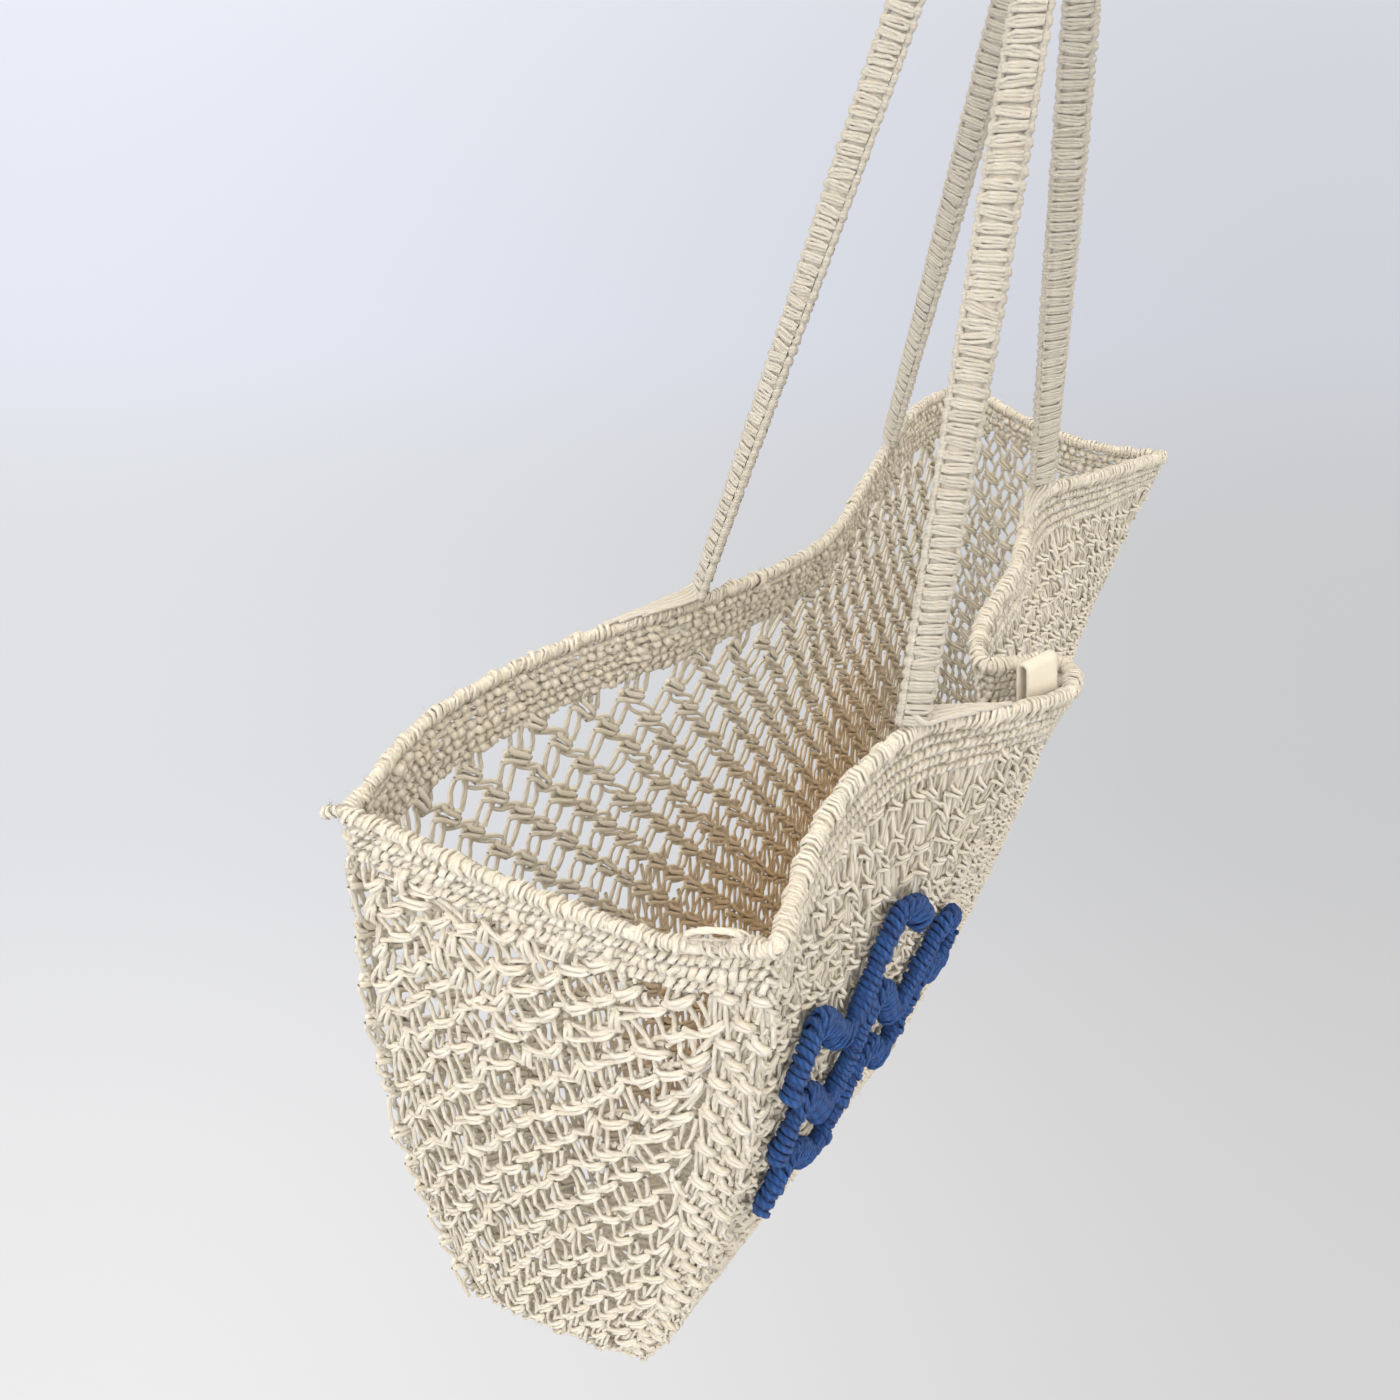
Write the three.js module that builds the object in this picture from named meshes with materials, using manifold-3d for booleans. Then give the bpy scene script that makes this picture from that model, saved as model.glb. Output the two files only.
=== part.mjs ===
// Beach tote of knotted cotton cord, hanging by its two handles.
// Millimetres, +Z up. X runs along the bag from its near end (-X) to its far end (+X), the front
// panel faces -Y, and the origin is the underside of both handles, where the bag hangs.

import * as THREE from 'three';
import Module from 'manifold-3d';

const wasm = await Module();
wasm.setup();

const degrees = THREE.MathUtils.degToRad;

// Driving dimensions
const GAP = 0.3;                                  // clearance between neighbouring pieces
const WALL = { dense: 3.0, net: 2.4 };            // close knotting of the front, open net elsewhere
const ROLL = { front: 3.2, other: 2.7, seat: 0.6, sides: 7 }; // whipped roll along each rim
const GRIP = { x: 12, y: -28, z: 280 };           // hanging place, seen from the middle of the mouth
const HANDLE = { width: 13, thickness: 5.4, corner: 0.5, sides: 8 };
const ARCH = { reach: 45, rise: 24, apart: 13.8, stagger: 18, steps: 10 };
const LEG = { steps: 14, twistEnds: 0.8 };
const FOOT = { length: 38, width: 8, thickness: 3.2, tip: 0.45, under: 0.35, steps: 6 };
const WAVE = {
  wide: 5.5, thick: 3.6, seat: 0.8, sides: 7,
  height: 0.05, start: 0.03, steps: 13,
};
const LABEL = {
  width: 15, height: 15, cloth: 1.0, hollow: 3.0,
  along: 0.325, raise: 1.4, lean: -0.2, clear: 0.7,
};
const FLOOR = { sag: 5, inset: 2.4 };

// Corner posts: where two walls meet, at the rim, the belly and the base, from the mouth's middle.
const POSTS = {
  nearBack: { rim: [-222, 57, -10], belly: [-222, 71, -155], base: [-214, 58, -292] },
  nearFront: { rim: [-197, -77, -6], belly: [-195, -60, -160], base: [-196, -24, -282] },
  farFront: { rim: [202, -59, -13], belly: [195, -33, -150], base: [192, -16, -280] },
  farBack: { rim: [217, 55, -2], belly: [214, 61, -150], base: [203, 46, -286] },
};

// Sections between the posts, a row for each: the level and its place along, out and up.
const COLUMNS = ['level', 'x', 'y', 'z'];
const SECTIONS = {
  front: [
    ['rim', -150, -65, -1],
    ['rim', -104, -68, 1],
    ['rim', -70, -88, -2],
    ['rim', -40, -97, -7],
    ['rim', -22, -88, -9],
    ['rim', -33, -75, -8],
    ['rim', -44, -67, -6],
    ['rim', -26, -58, -4],
    ['rim', 20, -52, -1],
    ['rim', 82, -37, 3],
    ['rim', 140, -48, -4],
    ['belly', -90, -63, -155],
    ['belly', 0, -59, -158],
    ['belly', 100, -53, -155],
    ['base', -88, -28, -290],
    ['base', 20, -30, -302],
    ['base', 110, -26, -291],
  ],
  back: [
    ['rim', -180, 66, -4],
    ['rim', -125, 55, 0],
    ['rim', -77, 32, 3],
    ['rim', 0, 23, -2],
    ['rim', 60, 35, 1],
    ['rim', 97, 43, 4],
    ['rim', 165, 57, 2],
    ['belly', -110, 60, -155],
    ['belly', 0, 47, -158],
    ['belly', 110, 55, -155],
    ['base', -100, 48, -296],
    ['base', 0, 42, -300],
    ['base', 105, 44, -295],
  ],
  near: [
    ['rim', -206, -50, -13],
    ['rim', -211, -5, -17],
    ['belly', -212, 4, -157],
    ['base', -207, 17, -290],
  ],
  far: [
    ['rim', 193, -18, -11],
    ['rim', 203, 22, -7],
    ['belly', 206, 4, -155],
    ['base', 199, 15, -286],
  ],
};

// Walls: the posts they run between, their thickness, and their net as columns and row lines.
const NET_ROWS = { band: 0.06, hem: 0.04 };
const WALLS = {
  front: { from: 'nearFront', to: 'farFront', thickness: WALL.dense, columns: 27, rows: 8, open: false },
  back: { from: 'nearBack', to: 'farBack', thickness: WALL.net, columns: 11, rows: 7, open: true },
  near: { from: 'nearFront', to: 'nearBack', thickness: WALL.net, columns: 4, rows: 7, open: true },
  far: { from: 'farFront', to: 'farBack', thickness: WALL.net, columns: 4, rows: 7, open: true },
};
const GAP_SIZE = { wide: 0.31, tall: 0.36 };       // half size of a net gap, in parts of its cell

// Handle feet as parts of the rim's length, the way each foot turns, the twist down each leg, and how far
// the top of the far leg is pulled to the far end and the front.
const HANDLES = {
  front: { near: 0.2, far: 0.746, nearTurn: 1, farTurn: -1, twist: degrees(54), side: -1, pull: [0, 0] },
  back: { near: 0.338, far: 0.728, nearTurn: -1, farTurn: 1, twist: degrees(-40), side: 1, pull: [7, 10] },
};

// Blue waves on the front panel: the height of each one's middle in parts from rim to base, its far end
// in parts of the width, and its crests.
const WAVES = {
  upper: { middle: 0.235, end: 0.24, crests: 1.5 },
  middle: { middle: 0.345, end: 0.34, crests: 2.5 },
  lower: { middle: 0.455, end: 0.42, crests: 3 },
};

const COTTON = { color: 0xe6dfcd, roughness: 0.92, metalness: 0 };
const BLUE = { color: 0x234c8c, roughness: 0.9, metalness: 0 };
const LABEL_CLOTH = { color: 0xf1eee6, roughness: 0.85, metalness: 0 };

const UP = new THREE.Vector3(0, 0, 1);
const MIDDLE = new THREE.Vector3(0, 0, 0);

// Curves and surfaces of the bag

/** The smooth curve of one wall at one level, from its first post to its last. */
function levelCurve(name, level) {
  const wall = WALLS[name];
  const rows = SECTIONS[name].map((row) => Object.fromEntries(COLUMNS.map((key, i) => [key, row[i]])));
  const between = rows.filter((row) => row.level === level).map((row) => [row.x, row.y, row.z]);
  const places = [POSTS[wall.from][level], ...between, POSTS[wall.to][level]];
  const curve = new THREE.CatmullRomCurve3(places.map((place) => new THREE.Vector3(...place)));
  curve.arcLengthDivisions = 400;
  return curve;
}

/** The middle surface of a wall: along runs from post to post, down from the rim to the base. */
function wallSurface(name) {
  const rim = levelCurve(name, 'rim');
  const belly = levelCurve(name, 'belly');
  const base = levelCurve(name, 'base');
  const point = (along, down) => {
    const top = rim.getPointAt(along);
    const mid = belly.getPointAt(along);
    const low = base.getPointAt(along);
    const chord = rim.getPointAt(0).lerp(rim.getPointAt(1), along);
    const slope = low.clone().sub(chord).multiplyScalar(0.5);
    const upper = down <= 0.5;
    const step = upper ? 1 - 2 * down : 2 * down - 1;
    const end = upper ? top : low;
    const lean = upper ? -1 : 1;
    const bend = end.clone().sub(mid).addScaledVector(slope, -lean);
    return mid.clone().addScaledVector(slope, lean * step).addScaledVector(bend, step * step);
  };
  const length = (down) => THREE.MathUtils.lerp(rim.getLength(), base.getLength(), down);
  return { point, rim, length };
}

/** The outward direction of a surface, found from points close by. */
function outward(surface, along, down) {
  const step = 0.004;
  const before = surface.point(Math.max(along - step, 0), down);
  const after = surface.point(Math.min(along + step, 1), down);
  const above = surface.point(along, Math.max(down - step, 0));
  const below = surface.point(along, Math.min(down + step, 1));
  const normal = after.sub(before).cross(below.sub(above)).normalize();
  return normal.multiplyScalar(surface.facing);
}

/** The same surface with a strip left off both ends, so that it stops short of its neighbours. */
function trimmed(surface, startStrip, endStrip) {
  const point = (along, down) => {
    const start = startStrip(down) / surface.length(down);
    const end = 1 - endStrip(down) / surface.length(down);
    return surface.point(THREE.MathUtils.lerp(start, end, along), down);
  };
  return { ...surface, point };
}

/** The strip that a wall leaves off to clear the neighbour it meets, from the angle between them. */
function seamStrip(surface, atEnd, neighbour, neighbourEnd, halfWall, halfNeighbour) {
  const nearby = 0.015;
  const inwards = (wall, end, down) => {
    const post = wall.point(end ? 1 : 0, down);
    return wall.point(end ? 1 - nearby : nearby, down).sub(post).normalize();
  };
  return (down) => {
    const angle = inwards(surface, atEnd, down).angleTo(inwards(neighbour, neighbourEnd, down));
    return (halfNeighbour + GAP + halfWall * Math.abs(Math.cos(angle))) / Math.sin(angle);
  };
}

// Meshes

/** A closed geometry from points and triangles, turned so that its faces point out. */
function closedGeometry(points, triangles) {
  const volume = triangles.reduce((sum, [a, b, c]) => {
    return sum + points[a].dot(points[b].clone().cross(points[c]));
  }, 0);
  const faces = volume < 0 ? triangles.map(([a, b, c]) => [a, c, b]) : triangles;
  const geometry = new THREE.BufferGeometry().setFromPoints(points);
  geometry.setIndex(faces.flat());
  geometry.computeVertexNormals();
  return geometry;
}

/** A solid through rings of as many points each, closed by a flat end at both ends. */
function ringLoft(rings) {
  const sides = rings[0].length;
  const points = rings.flat();
  const triangles = [];
  for (let ring = 0; ring + 1 < rings.length; ring += 1) {
    for (let side = 0; side < sides; side += 1) {
      const next = (side + 1) % sides;
      const [a, b] = [ring * sides + side, ring * sides + next];
      triangles.push([a, b, b + sides], [a, b + sides, a + sides]);
    }
  }
  const last = (rings.length - 1) * sides;
  for (let side = 1; side + 1 < sides; side += 1) {
    triangles.push([0, side + 1, side], [last, last + side, last + side + 1]);
  }
  return closedGeometry(points, triangles);
}

/** A ring of points round a place: wide and thick directions, their half sizes and a corner power. */
function sectionRing(place, wide, thick, halfWidth, halfThickness, sides, power) {
  const rounded = (value) => Math.sign(value) * Math.abs(value) ** power;
  return Array.from({ length: sides }, (_, side) => {
    const angle = (2 * Math.PI * (side + 0.5)) / sides;
    const ring = place.clone().addScaledVector(wide, halfWidth * rounded(Math.cos(angle)));
    return ring.addScaledVector(thick, halfThickness * rounded(Math.sin(angle)));
  });
}

/** The lines between the rows of a wall: a close band at the rim, a hem at the base, net between. */
function rowLines(rows) {
  const open = rows - 2;
  const net = Array.from({ length: open + 1 }, (_, row) => {
    return THREE.MathUtils.lerp(NET_ROWS.band, 1 - NET_ROWS.hem, row / open);
  });
  return [0, ...net, 1];
}

/** A wall with two faces. Its cells stand staggered row by row, and the open ones hold a gap. */
function netWall(surface, { thickness, columns, rows, open }) {
  const lines = rowLines(rows);
  const halves = 2 * columns;
  const places = [];
  const triangles = [];
  const addPlace = (along, down) => places.push([along, down]) - 1;
  const grid = lines.map((down) => {
    return Array.from({ length: halves + 1 }, (_, half) => addPlace(half / halves, down));
  });
  const rims = [];
  const addPlainCell = (row, half) => {
    const [a, b] = [grid[row][half], grid[row][half + 1]];
    const [c, d] = [grid[row + 1][half + 1], grid[row + 1][half]];
    triangles.push([a, d, c], [a, c, b]);
  };
  const addGapCell = (row, half) => {
    const [topLeft, topMid, topRight] = [0, 1, 2].map((step) => grid[row][half + step]);
    const [lowLeft, lowMid, lowRight] = [0, 1, 2].map((step) => grid[row + 1][half + step]);
    const along = (half + 1) / halves;
    const down = (lines[row] + lines[row + 1]) / 2;
    const wide = (2 * GAP_SIZE.wide) / halves;
    const tall = GAP_SIZE.tall * (lines[row + 1] - lines[row]);
    const top = addPlace(along, down - tall);
    const right = addPlace(along + wide, down);
    const low = addPlace(along, down + tall);
    const left = addPlace(along - wide, down);
    triangles.push([topLeft, top, topMid], [topMid, top, topRight], [topRight, top, right]);
    triangles.push([topRight, right, lowRight], [lowRight, right, low], [lowRight, low, lowMid]);
    triangles.push([lowMid, low, lowLeft], [lowLeft, low, left], [lowLeft, left, topLeft]);
    triangles.push([topLeft, left, top]);
    rims.push([top, right, low, left]);
  };
  for (let row = 0; row + 1 < lines.length; row += 1) {
    const netRow = open && row > 0 && row + 2 < lines.length;
    const shift = row % 2;
    for (let half = 0; half < halves; half += 1) {
      const startsGap = netRow && (half - shift) % 2 === 0 && half >= shift && half + 2 <= halves - shift;
      if (startsGap) {
        addGapCell(row, half);
        half += 1;
      } else {
        addPlainCell(row, half);
      }
    }
  }
  const edge = [
    ...grid[0],
    ...grid.slice(1).map((line) => line[halves]),
    ...grid[grid.length - 1].slice(0, -1).reverse(),
    ...grid.slice(1, -1).map((line) => line[0]).reverse(),
  ];
  const outer = places.map(([along, down]) => {
    return surface.point(along, down).addScaledVector(outward(surface, along, down), thickness / 2);
  });
  const inner = places.map(([along, down]) => {
    return surface.point(along, down).addScaledVector(outward(surface, along, down), -thickness / 2);
  });
  const count = places.length;
  const backs = triangles.map(([a, b, c]) => [a + count, c + count, b + count]);
  const sides = (loop) => loop.flatMap((a, i) => {
    const b = loop[(i + 1) % loop.length];
    return [[a, b, b + count], [a, b + count, a + count]];
  });
  const holes = rims.flatMap((loop) => sides([...loop].reverse()));
  return closedGeometry([...outer, ...inner], [...triangles, ...backs, ...sides(edge), ...holes]);
}

/** The roll along a wall's rim, resting on its top edge, with a strip left off at both ends. */
function rimRoll(surface, radius, startStrip, endStrip, steps) {
  const length = surface.rim.getLength();
  const lift = UP.clone().multiplyScalar(radius + ROLL.seat);
  const rings = Array.from({ length: steps + 1 }, (_, step) => {
    const along = THREE.MathUtils.lerp(startStrip / length, 1 - endStrip / length, step / steps);
    const tangent = surface.rim.getTangentAt(along);
    const wide = tangent.clone().cross(UP).normalize();
    const place = surface.rim.getPointAt(along).add(lift);
    return sectionRing(place, wide, wide.clone().cross(tangent), radius, radius, ROLL.sides, 1);
  });
  return ringLoft(rings);
}

/** The solid of a geometry, ready for a join. */
function solidOf(geometry) {
  const vertProperties = new Float32Array(geometry.attributes.position.array);
  const triVerts = new Uint32Array(geometry.index.array);
  return new wasm.Manifold(new wasm.Mesh({ numProp: 3, vertProperties, triVerts }));
}

/** One geometry of several that overlap. */
function fused(geometries) {
  const solid = geometries.map(solidOf).reduce((whole, piece) => whole.add(piece));
  const mesh = solid.getMesh();
  const geometry = new THREE.BufferGeometry();
  geometry.setAttribute('position', new THREE.BufferAttribute(new Float32Array(mesh.vertProperties), 3));
  geometry.setIndex(Array.from(mesh.triVerts));
  geometry.computeVertexNormals();
  return geometry;
}

// Pieces

/** A handle: two straight legs from the rim, bent over the grip, each turning on its way down. */
function handleBand(surface, rollRadius, { near, far, twist, side, pull }) {
  const seat = 2 * rollRadius + ROLL.seat + GAP;
  const feet = [near, far].map((along) => surface.rim.getPointAt(along).addScaledVector(UP, seat));
  const shift = new THREE.Vector3(ARCH.stagger, ARCH.apart, 0).multiplyScalar(side / 2);
  const apex = new THREE.Vector3(GRIP.x, GRIP.y, GRIP.z + ARCH.rise).add(shift);
  const shoulders = feet.map((foot) => {
    return foot.clone().sub(apex).normalize().multiplyScalar(ARCH.reach).add(apex);
  });
  shoulders[1].add(new THREE.Vector3(pull[0], -pull[1], 0));
  const legs = feet.map((foot, i) => new THREE.LineCurve3(foot, shoulders[i]));
  const arch = new THREE.QuadraticBezierCurve3(shoulders[0], apex, shoulders[1]);
  const across = new THREE.Vector3(0, 1, 0);
  const bandRing = (place, upTangent, turn) => {
    const wide = across.clone().addScaledVector(upTangent, -across.dot(upTangent)).normalize();
    wide.applyAxisAngle(upTangent, turn);
    const thick = upTangent.clone().cross(wide);
    const half = [HANDLE.width / 2, HANDLE.thickness / 2];
    return sectionRing(place, wide, thick, ...half, HANDLE.sides, HANDLE.corner);
  };
  const legRings = (leg) => Array.from({ length: LEG.steps }, (_, step) => {
    const part = step / LEG.steps;
    const turn = twist * (1 - THREE.MathUtils.smoothstep(part, 0, LEG.twistEnds));
    const ring = bandRing(leg.getPointAt(part), leg.getTangentAt(0), turn);
    if (step > 0) {
      return ring;
    }
    const slope = leg.getTangentAt(0);
    return ring.map((corner) => corner.addScaledVector(slope, (leg.v1.z - corner.z) / slope.z));
  });
  const archRings = Array.from({ length: ARCH.steps + 1 }, (_, step) => {
    const tangent = arch.getTangentAt(step / ARCH.steps);
    return bandRing(arch.getPointAt(step / ARCH.steps), tangent, 0);
  });
  const mirrored = legRings(legs[1]).map((ring) => {
    return ring.map((_, i) => ring[HANDLE.sides - 1 - i]);
  });
  return ringLoft([...legRings(legs[0]), ...archRings, ...mirrored.reverse()]);
}

/** The cords of one handle foot, lying along the roll and tapering to their end. */
function handleFoot(surface, rollRadius, along, turn) {
  const length = surface.rim.getLength();
  const start = along - (turn * HANDLE.width * FOOT.under) / length;
  const lift = 2 * rollRadius + ROLL.seat + GAP + FOOT.thickness / 2;
  const rings = Array.from({ length: FOOT.steps + 1 }, (_, step) => {
    const part = step / FOOT.steps;
    const at = start + (turn * FOOT.length * part) / length;
    const taper = THREE.MathUtils.lerp(1, FOOT.tip, part);
    const tangent = surface.rim.getTangentAt(at);
    const wide = tangent.clone().cross(UP).normalize();
    const place = surface.rim.getPointAt(at).addScaledVector(UP, lift);
    const half = [(FOOT.width / 2) * taper, FOOT.thickness / 2];
    return sectionRing(place, wide, UP, ...half, HANDLE.sides, HANDLE.corner);
  });
  return ringLoft(rings);
}

/** A whole handle: the band and its two feet in one. */
function handle(surface, rollRadius, shape) {
  const feet = [
    handleFoot(surface, rollRadius, shape.near, shape.nearTurn),
    handleFoot(surface, rollRadius, shape.far, shape.farTurn),
  ];
  return fused([handleBand(surface, rollRadius, shape), ...feet]);
}

/** A blue wave: a thick cord that rises and falls along the outside of the front panel. */
function wave(surface, { middle, end, crests }) {
  const stand = WALL.dense / 2 + WAVE.seat + WAVE.thick;
  const steps = Math.round(WAVE.steps * crests);
  const nearby = 0.2 / steps;
  const place = (part) => {
    const along = THREE.MathUtils.lerp(WAVE.start, end, part);
    const down = middle - WAVE.height * Math.sin(2 * Math.PI * crests * part);
    const out = outward(surface, along, down);
    return { centre: surface.point(along, down).addScaledVector(out, stand), out };
  };
  const rings = Array.from({ length: steps + 1 }, (_, step) => {
    const part = step / steps;
    const { centre, out } = place(part);
    const [before, after] = [Math.max(part - nearby, 0), Math.min(part + nearby, 1)];
    const tangent = place(after).centre.sub(place(before).centre);
    const wide = tangent.normalize().cross(out).normalize();
    return sectionRing(centre, wide, out, WAVE.wide, WAVE.thick, WAVE.sides, 1);
  });
  return ringLoft(rings);
}

/** The folded label: two leaves of cloth that meet in a round fold, standing behind the roll. */
function labelLoop() {
  const outerRound = LABEL.hollow / 2 + LABEL.cloth;
  const shape = new THREE.Shape();
  shape.moveTo(-outerRound, 0);
  shape.lineTo(-outerRound, LABEL.height - outerRound);
  shape.absarc(0, LABEL.height - outerRound, outerRound, Math.PI, 0, true);
  shape.lineTo(outerRound, 0);
  shape.lineTo(LABEL.hollow / 2, 0);
  shape.lineTo(LABEL.hollow / 2, LABEL.height - outerRound);
  shape.absarc(0, LABEL.height - outerRound, LABEL.hollow / 2, 0, Math.PI, false);
  shape.lineTo(-LABEL.hollow / 2, 0);
  shape.closePath();
  const settings = { depth: LABEL.width, bevelEnabled: false, curveSegments: 6 };
  return new THREE.ExtrudeGeometry(shape, settings).translate(0, 0, -LABEL.width / 2);
}

/** A named mesh with a material of its own. */
function piece(name, geometry, finish) {
  const mesh = new THREE.Mesh(geometry, new THREE.MeshStandardMaterial(finish));
  mesh.name = name;
  return mesh;
}

// Assembly

const tote = new THREE.Group();
tote.position.set(-GRIP.x, -GRIP.y, -GRIP.z);

const surfaces = Object.fromEntries(Object.keys(WALLS).map((name) => [name, wallSurface(name)]));
for (const surface of Object.values(surfaces)) {
  surface.facing = 1;
  const middleOut = surface.point(0.5, 0.5).sub(MIDDLE).setZ(0);
  surface.facing = Math.sign(outward(surface, 0.5, 0.5).dot(middleOut));
}

const long = ['front', 'back'];
for (const name of long) {
  tote.add(piece(`${name}_panel`, netWall(surfaces[name], WALLS[name]), COTTON));
}
for (const [name, end] of [['near', false], ['far', true]]) {
  const strips = long.map((neighbour, i) => {
    const halves = [WALLS[name].thickness / 2, WALLS[neighbour].thickness / 2];
    return seamStrip(surfaces[name], i === 1, surfaces[neighbour], end, ...halves);
  });
  const wall = trimmed(surfaces[name], ...strips);
  tote.add(piece(`${name}_gusset`, netWall(wall, WALLS[name]), COTTON));
}

/** The floor's middle surface: along from the near end to the far end, down from front to back. */
function floorSurface() {
  const [front, back] = long.map((name) => levelCurve(name, 'base'));
  const length = front.getLength();
  const width = front.getPointAt(0.5).distanceTo(back.getPointAt(0.5));
  const point = (along, across) => {
    const u = THREE.MathUtils.lerp(FLOOR.inset / length, 1 - FLOOR.inset / length, along);
    const v = THREE.MathUtils.lerp(FLOOR.inset / width, 1 - FLOOR.inset / width, across);
    const sag = FLOOR.sag * 4 * v * (1 - v);
    return front.getPointAt(u).lerp(back.getPointAt(u), v).addScaledVector(UP, -sag);
  };
  return { point, facing: 1 };
}
const FLOOR_NET = { thickness: WALL.net, columns: 10, rows: 3, open: true };
tote.add(piece('bottom_panel', netWall(floorSurface(), FLOOR_NET), COTTON));

const rollSizes = { front: ROLL.front, back: ROLL.other, near: ROLL.other, far: ROLL.other };
const rollSteps = { front: 64, back: 28, near: 8, far: 8 };
for (const name of Object.keys(WALLS)) {
  const isLong = long.includes(name);
  const end = name === 'far';
  const strip = (neighbour, atEnd) => {
    const halves = [rollSizes[name], rollSizes[neighbour]];
    return seamStrip(surfaces[name], atEnd, surfaces[neighbour], end, ...halves)(0);
  };
  const strips = isLong ? [0, 0] : [strip('front', false), strip('back', true)];
  const roll = rimRoll(surfaces[name], rollSizes[name], ...strips, rollSteps[name]);
  tote.add(piece(`${name}_rim`, roll, COTTON));
}

for (const name of long) {
  tote.add(piece(`${name}_handle`, handle(surfaces[name], rollSizes[name], HANDLES[name]), COTTON));
}

for (const [name, course] of Object.entries(WAVES)) {
  tote.add(piece(`blue_wave_${name}`, wave(surfaces.front, course), BLUE));
}

const label = piece('label', labelLoop(), LABEL_CLOTH);
const labelTangent = surfaces.front.rim.getTangentAt(LABEL.along).setZ(0).normalize();
const labelInward = UP.clone().cross(labelTangent);
const labelRise = UP.clone().applyAxisAngle(labelTangent, LABEL.lean);
const labelThrough = labelRise.clone().cross(labelTangent);
const labelStand = ROLL.front + LABEL.clear + LABEL.hollow / 2 + LABEL.cloth;
label.position.copy(surfaces.front.rim.getPointAt(LABEL.along)).addScaledVector(labelInward, labelStand);
label.position.addScaledVector(UP, LABEL.raise);
label.setRotationFromMatrix(new THREE.Matrix4().makeBasis(labelThrough, labelRise, labelTangent));
tote.add(label);

export default tote;
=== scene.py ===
"""Beach tote of knotted cotton cord, hanging by its two handles.

Every wall, rim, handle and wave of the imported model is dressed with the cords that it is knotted
from, laid on the same curves and surfaces. Lengths are millimetres from the middle of the mouth
until a mesh is made, and metres from the hanging place after that.
"""

import logging
import math
from abc import ABC, abstractmethod
from dataclasses import dataclass, field, replace
from enum import Enum
from itertools import product

import bpy
import numpy as np
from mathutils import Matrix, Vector


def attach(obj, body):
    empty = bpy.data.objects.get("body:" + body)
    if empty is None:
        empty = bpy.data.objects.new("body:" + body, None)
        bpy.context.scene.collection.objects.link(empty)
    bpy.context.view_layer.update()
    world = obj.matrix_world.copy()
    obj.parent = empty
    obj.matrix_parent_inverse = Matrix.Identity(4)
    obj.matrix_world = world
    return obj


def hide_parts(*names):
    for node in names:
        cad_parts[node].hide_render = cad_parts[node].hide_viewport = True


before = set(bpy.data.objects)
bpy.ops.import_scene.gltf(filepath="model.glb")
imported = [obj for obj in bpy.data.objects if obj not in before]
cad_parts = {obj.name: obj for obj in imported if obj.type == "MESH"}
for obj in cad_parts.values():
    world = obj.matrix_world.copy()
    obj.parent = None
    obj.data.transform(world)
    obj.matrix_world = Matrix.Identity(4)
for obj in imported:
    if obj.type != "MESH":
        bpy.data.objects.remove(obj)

Array = np.ndarray
Place = tuple[float, float, float]
Colour = tuple[float, float, float]
Span = tuple[float, float]
Material = bpy.types.Material
Piece = bpy.types.Object
Socket = bpy.types.NodeSocket

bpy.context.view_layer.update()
LOG = logging.getLogger("tote")

MM = 0.001
BODY = "root"
UP = np.array([0.0, 0.0, 1.0])

# The hanging place, from the middle of the mouth
GRIP = np.array([12.0, -28.0, 280.0])

# Keeps the direction of a section's thickness off the line of its cord
OFF_LINE = 0.01

# The map that the yarn finish reads: a square of cells, one for each short length of cord
CORD_MAP = "OFBake"
MAP_CELLS = 16


class Level(Enum):
    """The three heights at which the walls are drawn."""

    RIM = "rim"
    BELLY = "belly"
    BASE = "base"


class Slot(Enum):
    """The record's material slots."""

    COTTON = "cotton_cord"
    BLUE = "blue_cord"
    LABEL = "label_cloth"


# Where each corner post stands at each level: along, across and up
POSTS: dict[str, dict[Level, Place]] = {
    "near_back": {Level.RIM: (-222, 57, -10), Level.BELLY: (-222, 71, -155), Level.BASE: (-214, 58, -292)},
    "near_front": {
        Level.RIM: (-197, -77, -6), Level.BELLY: (-195, -60, -160), Level.BASE: (-196, -24, -282),
    },
    "far_front": {Level.RIM: (202, -59, -13), Level.BELLY: (195, -33, -150), Level.BASE: (192, -16, -280)},
    "far_back": {Level.RIM: (217, 55, -2), Level.BELLY: (214, 61, -150), Level.BASE: (203, 46, -286)},
}

# What each wall passes between its posts at each level, from the near end or from the front
SECTIONS: dict[str, dict[Level, list[Place]]] = {
    "front": {
        Level.RIM: [
            (-150, -65, -1), (-104, -68, 1), (-70, -88, -2), (-40, -97, -7), (-22, -88, -9), (-33, -75, -8),
            (-44, -67, -6), (-26, -58, -4), (20, -52, -1), (82, -37, 3), (140, -48, -4),
        ],
        Level.BELLY: [(-90, -63, -155), (0, -59, -158), (100, -53, -155)],
        Level.BASE: [(-88, -28, -290), (20, -30, -302), (110, -26, -291)],
    },
    "back": {
        Level.RIM: [
            (-180, 66, -4), (-125, 55, 0), (-77, 32, 3), (0, 23, -2), (60, 35, 1), (97, 43, 4),
            (165, 57, 2),
        ],
        Level.BELLY: [(-110, 60, -155), (0, 47, -158), (110, 55, -155)],
        Level.BASE: [(-100, 48, -296), (0, 42, -300), (105, 44, -295)],
    },
    "near": {
        Level.RIM: [(-206, -50, -13), (-211, -5, -17)],
        Level.BELLY: [(-212, 4, -157)],
        Level.BASE: [(-207, 17, -290)],
    },
    "far": {
        Level.RIM: [(193, -18, -11), (203, 22, -7)],
        Level.BELLY: [(206, 4, -155)],
        Level.BASE: [(199, 15, -286)],
    },
}


def unit(vectors: Array) -> Array:
    """The same directions with a length of one."""
    return vectors / np.maximum(np.linalg.norm(vectors, axis=-1, keepdims=True), 1e-9)


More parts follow.
